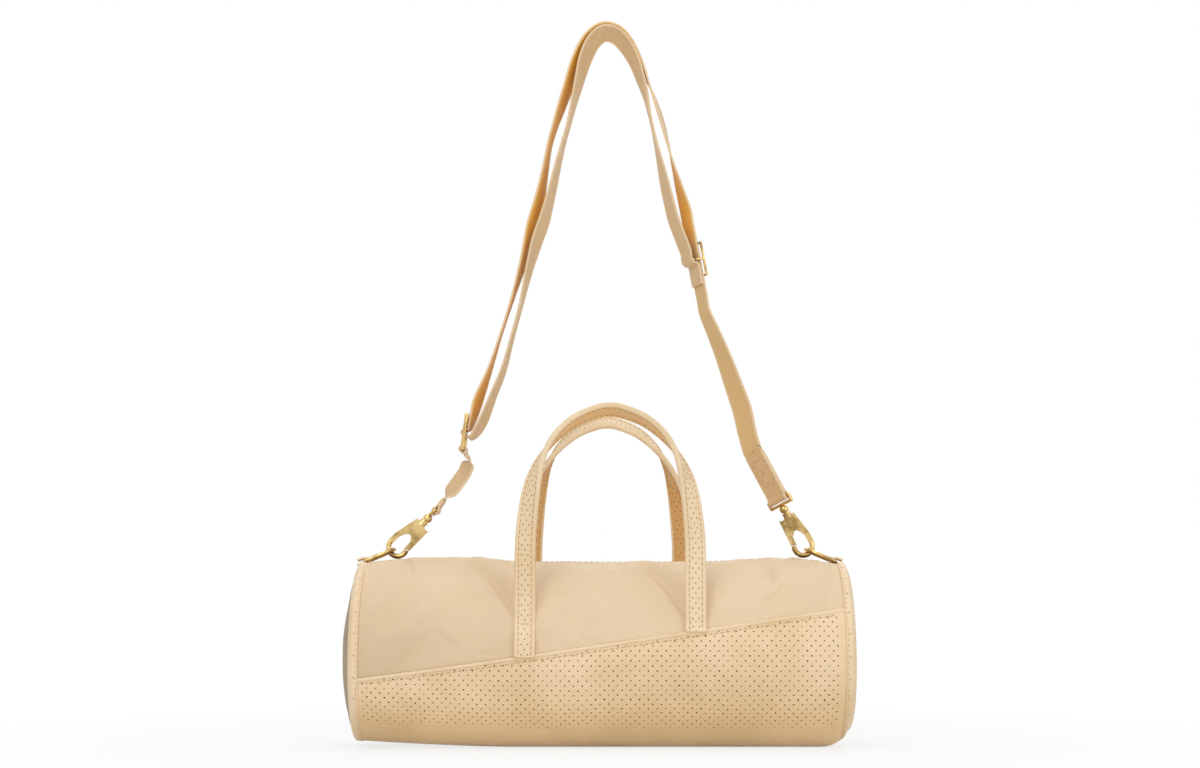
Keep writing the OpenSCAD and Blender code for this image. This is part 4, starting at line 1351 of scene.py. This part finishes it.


@dataclass
class Handle:
    """One handle, from the diagonal seam up over the arch and down again."""

    side: Side
    shape: BodyShape
    finishes: Finishes
    spread: float
    shift: float
    width: float = 12.5
    thick: float = 3.6
    rise: float = 120
    lean: float = 4
    root_rise: float = 25
    root_gap: float = 2.4

    @property
    def root(self) -> tuple[float, float]:
        """Distance from the middle plane, and height, of the place where the handle leaves the body."""
        r = self.shape.radius + self.root_gap
        return math.sqrt(r * r - self.root_rise**2), self.shape.axis + self.root_rise

    def half_route(self, way: int) -> list[tuple[float, float, float, float]]:
        """Points x, y, z and turn of the front handle from one tail up to just before its top."""
        x = self.shift + way * self.spread / 2
        root_y, root_z = self.root
        seam_z = float(self.shape.seam_z(x)) - 0.3
        r = self.shape.radius + 1.75
        low, high = math.asin((seam_z - self.shape.axis) / r), math.asin(self.root_rise / r)
        tail = [
            (x, -r * math.cos(a), self.shape.axis + r * math.sin(a), 0.0)
            for a in np.linspace(low, high - 0.05, 6)
        ]
        arch = [
            (
                self.shift + way * s * self.spread / 2,
                -root_y + h * self.lean,
                root_z + h * self.rise,
                -turn,
            )
            for s, h, turn in ARCH
        ]
        return tail + arch

    def stations(self) -> list[Station]:
        """Frames along the whole strip."""
        root_y, root_z = self.root
        # The turn keeps its sign over the top, and the tails are straight
        top = (self.shift, -root_y + self.lean, root_z + self.rise, -TOP_TURN)
        route = curve_through([*self.half_route(-1), top, *self.half_route(1)[::-1]], 6)
        mirror = np.array([1, -self.side.value, 1])
        made = []
        for (x, y, z, turn), t in zip(route, headings(route[:, :3])):
            out = unit(np.array([-t[2], 0, t[0]]))
            a = math.radians(turn)
            width = out * math.cos(a) + np.cross(t, out) * math.sin(a)
            thick = np.cross(t, width)
            made.append(Station(np.array([x, y, z]) * mirror, width * mirror, thick * mirror))
        return made

    @staticmethod
    def face_of(_: int, j: int) -> int:
        """The material index of a face from its place round the outline: outer, edge or inner."""
        if j <= 5 or 14 <= j <= 22 or j >= 34:
            return 1
        return 0 if j < 19 else 2

    def section(self) -> list[tuple[float, float]]:
        """The strip's outline: rolled edges with a groove inside each, where it is sewn."""
        w, t = self.width / 2, self.thick / 2
        outer = [
            (w, 0.0), (w - 0.12, 0.6), (w - 0.5, t - 0.45), (w - 1.0, t - 0.12), (w - 1.5, t),
            (w - 2.0, t - 0.2), (w - 2.35, t - 0.55), (w - 2.9, t - 0.62), (w - 3.6, t - 0.5),
            (w / 4, t - 0.42),
        ]
        top = outer + [(-a, b) for a, b in outer[::-1]]
        bottom = [(-a, -b * 0.92) for a, b in top[1:-1]]
        return top + bottom

    def build(self) -> None:
        """Makes the strip and its stitches."""
        stations = self.stations()
        bm = bmesh.new()
        strip_mesh(bm, stations, self.section(), face_of=self.face_of)
        cap(bm)
        name = f"{self.side.word}_handle"
        f = self.finishes
        # The inner face is painted darker as painted shade, darker still on the back handle
        inner = f.handle_inner_shade if self.side is Side.FRONT else f.handle_back_shade
        obj = finish_mesh(f"{name}_strip", bm, [f.handle, f.handle_edge, inner], 55)
        root_y, root_z = self.root
        y = self.side.value * root_y
        start, end = ((0, y * MM, (root_z + s) * MM) for s in (-BLEND_BELOW, BLEND_ABOVE))
        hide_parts(name, f"{name}_anchors")
        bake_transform(obj)
        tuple(start)
        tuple(end)
        bm = bmesh.new()
        thread = Thread(2.3, 1.0, 0.27, 0.45)
        aside, proud = self.width / 2 - 2.55, self.thick / 2 - 0.5
        for offset in (-aside, aside):
            for face in (-1, 1):
                line = [s.centre + offset * s.width + face * proud * s.thick for s in stations]
                thread.sew(bm, np.array(line), np.array([face * s.thick for s in stations]))
        # A short row across each leg where it is sewn down last
        proud = self.thick / 2 - 0.4
        for s in (stations[LAST_SEWN], stations[-LAST_SEWN - 1]):
            out = s.thick * np.sign(s.thick[1] * self.side.value)
            across = [s.centre + w * s.width + out * proud for w in np.linspace(-3.6, 3.6, 9)]
            thread.sew(bm, np.array(across), np.array([out] * 9))
        stitches = finish_mesh(f"{name}_stitches", bm, f.thread)
        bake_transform(stitches)
        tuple(start)
        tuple(end)


# Strap


# Each row has a share of the strap's spread and of its rise, and the turn in degrees
RISING = (
    (-0.634, 0.232, 6), (-0.614, 0.258, 14), (-0.595, 0.284, 18), (-0.541, 0.341, 6), (-0.488, 0.407, 0),
    (-0.434, 0.474, 2), (-0.380, 0.546, 12), (-0.336, 0.616, 24), (-0.302, 0.664, 22), (-0.283, 0.701, 15),
    (-0.266, 0.739, 10), (-0.249, 0.777, 7), (-0.222, 0.815, 9), (-0.190, 0.853, 15), (-0.157, 0.891, 20),
    (-0.122, 0.929, 28), (-0.083, 0.965, 30), (-0.036, 0.991, 28), (0.022, 1.003, 28), (0.088, 0.996, 27),
    (0.146, 0.972, 22), (0.200, 0.935, 10), (0.247, 0.893, -5), (0.284, 0.853, -12), (0.313, 0.815, -12),
    (0.337, 0.777, -7), (0.360, 0.739, 0), (0.386, 0.701, 10),
)
FALLING = (
    (0.556, 0.414, 27), (0.6025, 0.369, 33), (0.649, 0.3175, 41), (0.695, 0.265, 47), (0.719, 0.222, 45),
)
RETURN = (
    (-0.629, 0.211, 5), (-0.600, 0.224, 14), (-0.568, 0.247, 17), (-0.527, 0.288, 12), (-0.473, 0.341, 8),
    (-0.434, 0.398, 4), (-0.390, 0.464, 4), (-0.351, 0.531, 12), (-0.312, 0.588, 22), (-0.278, 0.626, 23),
    (-0.252, 0.664, 18), (-0.229, 0.701, 14), (-0.207, 0.739, 10), (-0.183, 0.777, 6), (-0.157, 0.815, 5),
    (-0.133, 0.855, 10), (-0.106, 0.898, 18), (-0.075, 0.944, 28), (-0.034, 0.979, 31), (0.020, 0.9965, 31),
    (0.080, 0.991, 30), (0.130, 0.970, 28), (0.170, 0.942, 22), (0.200, 0.909, 16), (0.226, 0.875, 8),
    (0.242, 0.845, 2), (0.259, 0.813, 0), (0.278, 0.777, 3), (0.299, 0.739, 10), (0.320, 0.701, 17),
    (0.342, 0.664, 20), (0.366, 0.628, 22),
)
TAB = ((-0.645, 0.162, 32), (-0.659, 0.147, 36), (-0.693, 0.127, 37), (-0.728, 0.109, 33))
RING_BAR = (141.5, 110.178)  # x and z of the bars that the D rings hang on
SQUARE_WIRE, EYE_WIRE, GLIDE_WIRE = 1.2, 1.0, 0.8  # radii of the bars that webbing goes round
SLACK = 0.1
GLIDE_TURN = 22  # degrees
TAB_TOP = (-60, 5.9)  # direction in degrees above +x, and length, of the tab's sewn ends
TAB_LOW = (54, 7.4)
STRAP_THREAD = Thread(1.9, 0.7, 0.22, 0.4)


def upright(x: float, z: float) -> np.ndarray:
    """A place or a way in the bag's upright middle plane."""
    return np.array([x, 0.0, z])


def ways_at(turn: float) -> tuple[np.ndarray, np.ndarray]:
    """The way at so many degrees above +x in the upright middle plane, and the way square to it."""
    a = math.radians(turn)
    return upright(math.cos(a), math.sin(a)), upright(-math.sin(a), math.cos(a))


@dataclass
class Strap:
    """The webbing of the shoulder strap, its folds and its sewing."""

    finishes: Finishes
    width: float = 15
    thick: float = 1.2
    rise: float = 320
    ring_reach: float = 18.5
    ring_lean: float = 23
    left_angle: float = 43
    right_angle: float = 62
    right_turn: float = 45
    eye: float = 34.4
    tail: float = 30
    lead: float = 2
    glide_lean: float = 10.4

    def __post_init__(self) -> None:
        lean = math.radians(self.ring_lean)
        self.tip_x = RING_BAR[0] - self.ring_reach * math.cos(lean)
        self.tip_z = RING_BAR[1] + self.ring_reach * math.sin(lean)
        self.top_bar = self.at((-0.648, 0.254, 0))
        self.low_bar = self.at((-0.668, 0.189, 0))
        self.mid_bar = self.top_bar + 0.52 * (self.low_bar - self.top_bar)
        self.glide = self.at((0.469, 0.550, 22))
        lean = math.radians(self.glide_lean)
        self.glide_way = np.array([math.sin(lean), -math.cos(lean), 0])
        self.glide_out = np.array([math.cos(lean), math.sin(lean), 0])
        self.fold_x = -(self.thick / 2 + 0.15 + self.thick + SLACK + GLIDE_WIRE)

    def at(self, share: Sequence[float]) -> np.ndarray:
        """A point x, z and turn from its shares of the strap's spread and rise."""
        return np.array([share[0] * self.tip_x, self.tip_z + share[1] * self.rise, share[2]])

    def wrap(self, wire: float) -> float:
        """How far from a bar's middle the webbing's middle goes round it."""
        return wire + SLACK + self.thick / 2

    def right_tail(self, s: float) -> np.ndarray:
        """A point along the sewn end at the right hook."""
        a, reach = math.radians(self.right_angle), self.eye + s
        x, z = self.tip_x - reach * math.cos(a), self.tip_z + reach * math.sin(a)
        return np.array([x, z, self.right_turn])

    def piece(
        self,
        name: str,
        stations: Sequence[Station],
        replaces: Sequence[str],
        body: str = "strap",
        shaded: bool = False,
    ) -> Object:
        """Makes one length of webbing.

        Args:
            name: the piece's name.
            stations: where it runs.
            replaces: the solids that it stands for.
            body: the body it rides on, or nothing to leave it on no body.
            shaded: paints the face on the loop's inside warmer and deeper, as painted shade and warm light
                bounced between the layers.

        Returns:
            The piece.
        """
        section = band_section(self.width, self.thick)
        bm = bmesh.new()
        strip_mesh(bm, stations, section, face_of=lambda i, j: int(shaded and 10 <= j <= 16))
        cap(bm)
        obj = finish_mesh(name, bm, [self.finishes.webbing, self.finishes.webbing_shaded], 50)
        if body:
            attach(obj, body)
        if replaces:
            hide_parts(*replaces)
        return obj

    def loop(
        self, centre: np.ndarray, wire: float, turn: float, tail: float, swung: float = 0.0
    ) -> list[Station]:
        """Stations of webbing folded round a bar: in along one face of the tail, round, and back.

        Args:
            centre: the bar's x and z.
            wire: its radius.
            turn: the tail's direction, in degrees above +x.
            tail: the tail's length.
            swung: how far the bar has turned out of the Y direction about the tail, in degrees.

        Returns:
            The stations.
        """
        r = self.wrap(wire)
        b = math.radians(swung)
        ahead, flat = ways_at(turn)
        across = flat * math.cos(b) - Y_WAY * math.sin(b)
        width = np.cross(ahead, across)
        half = self.thick / 2 + 0.01
        face = [(tail, half), (tail * 0.6, half), (r + 2.2, half), (r + 0.7, half + 0.15)]
        bend = [(r * math.cos(t), r * math.sin(t)) for t in np.radians(np.linspace(48, 312, 25))]
        line = curve_through(face + bend + [(s, -h) for s, h in face[::-1]], 2)
        middle = upright(centre[0], centre[1])
        made = []
        for (s, h), (ds, dh) in zip(line, headings(line)):
            way = ds * ahead + dh * across
            made.append(Station(middle + s * ahead + h * across, width, unit(np.cross(way, width))))
        return made

    def box_stitch(
        self,
        bm: Mesh,
        place: Callable[[float, float], np.ndarray],
        out: np.ndarray,
        length: float,
    ) -> None:
        """Sews a box with a cross in it onto a flat stretch of webbing.

        Args:
            bm: the mesh to add to.
            place: a point from its distances along the stretch and across it.
            out: the surface's outward way.
            length: the stretch's length.
        """
        half = self.width / 2 - 1.6
        a, b = 1.4, length - 1.4
        corners = [(a, -half), (b, -half), (b, half), (a, half)]
        runs = [*zip(corners, corners[1:] + corners[:1]), corners[::2], corners[1::2]]
        for p, q in runs:
            shares = np.linspace(0, 1, 8)
            line = [place(p[0] + (q[0] - p[0]) * t, p[1] + (q[1] - p[1]) * t) for t in shares]
            STRAP_THREAD.sew(bm, np.array(line), np.array([out] * 8))

    def build(self) -> None:
        """Makes every length of webbing and its sewing."""
        fold_r = self.wrap(SQUARE_WIRE)
        mx, mz = self.mid_bar[:2]
        along = [self.glide + s * 8 * self.glide_way for s in range(-4, 5)]
        rising = [np.array([mx + s, mz + fold_r, 0]) for s in (0, self.lead)]
        rising += [self.at(s) for s in RISING] + along + [self.at(s) for s in FALLING]
        rising += [self.right_tail(self.tail + k * self.lead) for k in (2, 1, 0)]
        turns = np.radians(np.linspace(-88, 80, 12))
        turn_round = [np.array([mx - fold_r * math.cos(t), mz + fold_r * math.sin(t), 0]) for t in turns]
        whole = curve_through([*turn_round, *rising], 7)
        self.piece("strap_band", flat_strip(whole), ["strap_webbing", "ring_fold"], shaded=True)
        back = [np.array([mx + s, mz - fold_r, 0]) for s in (0, self.lead)]
        back += [self.at(s) for s in RETURN]
        off = (self.fold_x - self.wrap(GLIDE_WIRE)) / math.cos(math.radians(GLIDE_TURN))
        back += [self.glide + k * 4 * self.glide_way + off * self.glide_out for k in (-2, -1, 0)]
        band = flat_strip(curve_through(back, 7))
        obj = self.piece("strap_return_band", band, ["strap_return"], "")
        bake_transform(obj)
        a = math.radians(self.left_angle)
        left_eye = -self.tip_x + self.eye * math.cos(a), self.tip_z + self.eye * math.sin(a)
        tab = [self.tail_point(self.low_bar, TAB_TOP[0], s) for s in (5.5, 7.5)]
        tab += [self.at(s) for s in TAB]
        tab += [self.tail_point(left_eye, TAB_LOW[0], s) for s in (9.0, 7.0)]
        self.piece("tab_band", flat_strip(curve_through(tab, 8)), ["tab_webbing"])
        self.piece("tab_upper_loop", self.loop(self.low_bar, SQUARE_WIRE, *TAB_TOP), ["tab_folds"])
        self.piece("tab_lower_loop", self.loop(left_eye, EYE_WIRE, *TAB_LOW), [])
        right_eye = self.right_tail(0)
        end = self.loop(right_eye, EYE_WIRE, 180 - self.right_angle, self.tail + 0.4, self.right_turn)
        self.piece("right_sewn_end", end, ["right_strap_fold"])
        self.glide_fold()
        self.sewing(right_eye, left_eye)

    def tail_point(self, at: Sequence[float], turn: float, s: float) -> np.ndarray:
        """A point along a sewn end."""
        a = math.radians(turn)
        return np.array([at[0] + s * math.cos(a), at[1] + s * math.sin(a), 0])

    def glide_fold(self) -> None:
        """The webbing's end, sewn round the adjuster's middle bar."""
        centre = upright(self.glide[0], self.glide[1])
        up = -upright(self.glide_way[0], self.glide_way[1])
        out = upright(self.glide_out[0], self.glide_out[1])
        turn = math.radians(GLIDE_TURN)
        ahead = out * math.cos(turn) + Y_WAY * math.sin(turn)
        width = Y_WAY * math.cos(turn) - out * math.sin(turn)
        x, r = self.fold_x, self.wrap(GLIDE_WIRE)
        # Down the inside, round below the bar and down again as the flap
        flap = [
            (x - r, 1.0), (x - r + 0.1, -0.8), (x - r * 0.6, -r * 0.9), (x + r * 0.4, -r * 1.1),
            (x + r * 0.95, -2.6), (x + r, -5), (x + r, -10), (x + r, -15),
        ]
        line = curve_through(flap, 6)
        made = []
        for (px, pz), (dx, dz) in zip(line, headings(line)):
            way = dx * ahead + dz * up
            made.append(Station(centre + px * ahead + pz * up, width, unit(np.cross(way, width))))
        self.piece("adjuster_fold_band", made, ["glide_fold"], "adjuster")

    def sewing(self, right_eye: np.ndarray, left_eye: Sequence[float]) -> None:
        """Boxes and rows of stitches on the sewn ends."""
        b = math.radians(self.right_turn)
        ahead, flat = ways_at(180 - self.right_angle)
        across = Y_WAY * math.cos(b) + flat * math.sin(b)
        base = upright(right_eye[0], right_eye[1])
        proud = self.thick + 0.02
        bm = bmesh.new()
        for face in (-1, 1):
            out = face * (flat * math.cos(b) - Y_WAY * math.sin(b))
            lift = out * proud

            def place(s: float, w: float) -> np.ndarray:
                return base + ahead * (s + 9) + across * w + lift

            self.box_stitch(bm, place, out, self.tail - 11)
        for at, (turn, tail) in ((self.low_bar, TAB_TOP), (left_eye, TAB_LOW)):
            way, out = ways_at(turn)
            start = upright(at[0], at[1]) + way * (tail - 1.6)
            for face in (-1, 1):
                line = [start + Y_WAY * w + out * face * proud for w in np.linspace(-6, 6, 7)]
                STRAP_THREAD.sew(bm, np.array(line), np.array([out * face] * 7))
        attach(finish_mesh("strap_stitches", bm, self.finishes.thread), "strap")


# Rings, hooks and zip


class Hardware:
    """Finishes of the rigid solids, and the leather loops that hold the rings."""

    GOLD = (
        "zip_teeth", "zip_stops", "zip_slider", "zip_pull", "left_d_ring", "right_d_ring",
        "left_hook_body", "left_hook_gate", "left_gate_pin", "left_gate_spring", "left_swivel_eye",
        "right_hook_body", "right_hook_gate", "right_gate_pin", "right_gate_spring",
        "right_swivel_eye", "square_ring", "tri_glide",
    )
    EASED = (
        "zip_slider", "left_hook_body", "left_hook_gate", "right_hook_body", "right_hook_gate",
        "zip_stops",
    )

    def __init__(self, nodes: dict[str, Object], finishes: Finishes) -> None:
        self.nodes = nodes
        self.finishes = finishes

    def paint(self, name: str, material: Material) -> None:
        """Gives a solid its material."""
        data = self.nodes[name].data
        data.materials.clear()
        data.materials.append(material)

    def ease_edges(self, name: str, width: float) -> None:
        """Rounds a solid's sharp edges for the light to catch."""
        bevel = self.nodes[name].modifiers.new("eased_edges", "BEVEL")
        bevel.width = width * MM
        bevel.segments = 3
        bevel.limit_method = "ANGLE"
        bevel.angle_limit = math.radians(38)
        bevel.harden_normals = False

    def tab(self, end: End) -> None:
        """The leather loop round a ring's bar: out over it and back below to the seam."""
        (x_bar, z_bar), seam_x, thick = RING_BAR, 146.2, 1.3
        r = 1.2 + 0.1 + thick / 2
        top = [(seam_x, z_bar + 0.4), (seam_x - 1.5, z_bar + 1.3), (x_bar + 0.9, z_bar + r - 0.05)]
        turns = np.radians(np.linspace(78, 262, 16))
        bend = [(x_bar + r * math.cos(t), z_bar + r * math.sin(t)) for t in turns]
        low = [(x_bar + 1.6, z_bar - r - 0.05), (seam_x - 1.5, z_bar - r - 0.1), (seam_x, z_bar - r - 0.2)]
        line = curve_through(top + bend + low, 3)
        side = end.value
        made = []
        for (x, z), (dx, dz) in zip(line, headings(line)):
            thick_way = unit(np.cross(upright(side * dx, dz), Y_WAY))
            made.append(Station(upright(side * x, z), Y_WAY, thick_way))
        bm = bmesh.new()
        strip_mesh(bm, made, band_section(11.4, thick))
        cap(bm)
        obj = finish_mesh(f"{end.word}_ring_loop", bm, self.finishes.leather, 50)
        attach(obj, "bag")
        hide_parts(f"{end.word}_ring_tab")

    def build(self) -> None:
        """Paints the metal, eases its edges and makes the leather loops."""
        for name in self.GOLD:
            self.paint(name, self.finishes.gold)
        for name in self.EASED:
            self.ease_edges(name, 0.22)
        for end in End:
            self.tab(end)


# Studio


@dataclass(frozen=True)
class Softbox:
    """A square light: where it is, where it points, its size in metres and its power in watts."""

    name: str
    place: tuple[float, float, float]
    target: tuple[float, float, float]
    size: float
    power: float

    def build(self) -> None:
        """Makes the light."""
        data = bpy.data.lights.new(self.name, "AREA")
        data.shape = "SQUARE"
        data.size = self.size
        data.energy = self.power
        obj = link(bpy.data.objects.new(self.name, data))
        obj.location = self.place
        aim = Vector(self.target) - Vector(self.place)
        obj.rotation_euler = aim.to_track_quat("-Z", "Y").to_euler()


class Studio:
    """A pale floor, soft lights and the photograph's camera."""

    BOXES = (
        Softbox("key_light", (-0.7, -1.6, 1.3), (0, 0, 0.15), 1.4, 13),
        Softbox("fill_light", (1.3, -1.4, 0.8), (0, 0, 0.15), 1.4, 8),
        Softbox("top_light", (0.0, 0.1, 1.9), (0, 0, 0), 1.6, 9),
        Softbox("back_light", (0.2, 1.6, 1.3), (0, 0, 0.15), 1.4, 6),
    )

    def world(self) -> None:
        """Even white light, and a plain white ground for what the camera sees straight on."""
        world = bpy.data.worlds.new("studio")
        bpy.context.scene.world = world
        world.use_nodes = True
        tree = world.node_tree
        tree.nodes.clear()
        output = tree.nodes.new("ShaderNodeOutputWorld")
        kinds = ("ShaderNodeBackground", "ShaderNodeBackground", "ShaderNodeMixShader")
        light, ground, mix = (tree.nodes.new(kind) for kind in kinds)
        path = tree.nodes.new("ShaderNodeLightPath")
        seen, any_seen = (tree.nodes.new("ShaderNodeMath") for _ in range(2))
        rays = ((seen, ("Is Camera Ray", "Is Glossy Ray")), (any_seen, ("Is Transmission Ray",)))
        for node, kinds in rays:
            node.operation, node.use_clamp = "ADD", True
            for kind, socket in zip(kinds, node.inputs):
                tree.links.new(path.outputs[kind], socket)
        tree.links.new(seen.outputs[0], any_seen.inputs[1])
        light.inputs["Color"].default_value = (1, 0.99, 0.97, 1)
        light.inputs["Strength"].default_value = 0.47
        ground.inputs["Color"].default_value = (1, 1, 1, 1)
        ground.inputs["Strength"].default_value = 1.0
        for node, socket in ((any_seen, mix.inputs[0]), (light, mix.inputs[1]), (ground, mix.inputs[2])):
            tree.links.new(node.outputs[0], socket)
        tree.links.new(mix.outputs[0], output.inputs[0])

    def floor(self) -> None:
        """The pale surface the bag stands on."""
        bm = bmesh.new()
        bmesh.ops.create_grid(bm, x_segments=8, y_segments=8, size=3000)
        s = Shader("pale_floor", (0.9, 0.9, 0.9), 0.9)
        s.shade(s.ramp(s.noise(0.6, 2), 0.3, 0.7, 0.0, 1.0), (0.895, 0.895, 0.895))
        # Seen straight on, the floor is mostly white by the bag, for its shadow, and all white away
        away = s.add("ShaderNodeVectorMath", operation="LENGTH")
        s.join(s.place, away.inputs[0])
        white = s.add("ShaderNodeEmission")
        seen = s.add("ShaderNodeLightPath")
        mix = s.add("ShaderNodeMixShader")
        looked = s.math("MAXIMUM", seen.outputs["Is Camera Ray"], seen.outputs["Is Glossy Ray"])
        looked = s.math("MAXIMUM", looked, seen.outputs["Is Transmission Ray"])
        share = s.math("MULTIPLY", s.ramp(away.outputs["Value"], 0.22, 0.5, 0.78, 1.0), looked)
        s.join(share, mix.inputs[0])
        s.join(s.bsdf.outputs[0], mix.inputs[1])
        s.join(white.outputs[0], mix.inputs[2])
        s.join(mix.outputs[0], s.tree.nodes["Material Output"].inputs["Surface"])
        finish_mesh("floor", bm, s.material)

    def camera(self) -> None:
        """The photograph's view: low, square on, tilted up a little."""
        data = bpy.data.cameras.new("camera")
        data.lens = 64.26
        data.sensor_width = 36
        data.clip_start, data.clip_end = 0.01, 50
        obj = link(bpy.data.objects.new("camera", data))
        obj.location = (0, -1.3, 0.093)
        obj.rotation_euler = (math.radians(90 + 5.49), 0, 0)
        bpy.context.scene.camera = obj

    def build(self) -> None:
        """Makes the studio."""
        bpy.context.scene.view_settings.view_transform = "Standard"
        self.world()
        self.floor()
        for box in self.BOXES:
            box.build()
        self.camera()


def main() -> None:
    """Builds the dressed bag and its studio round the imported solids."""
    logging.basicConfig(level=logging.INFO, format="%(message)s")
    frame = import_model()
    finishes = make_finishes()
    shape = BodyShape()
    SoftBody(shape, finishes).build()
    for side in Side:
        Handle(side, shape, finishes, *HANDLE_SPREADS[side]).build()
    Strap(finishes).build()
    Hardware(frame["nodes"], finishes).build()
    Studio().build()


if __name__ == "__main__":
    main()
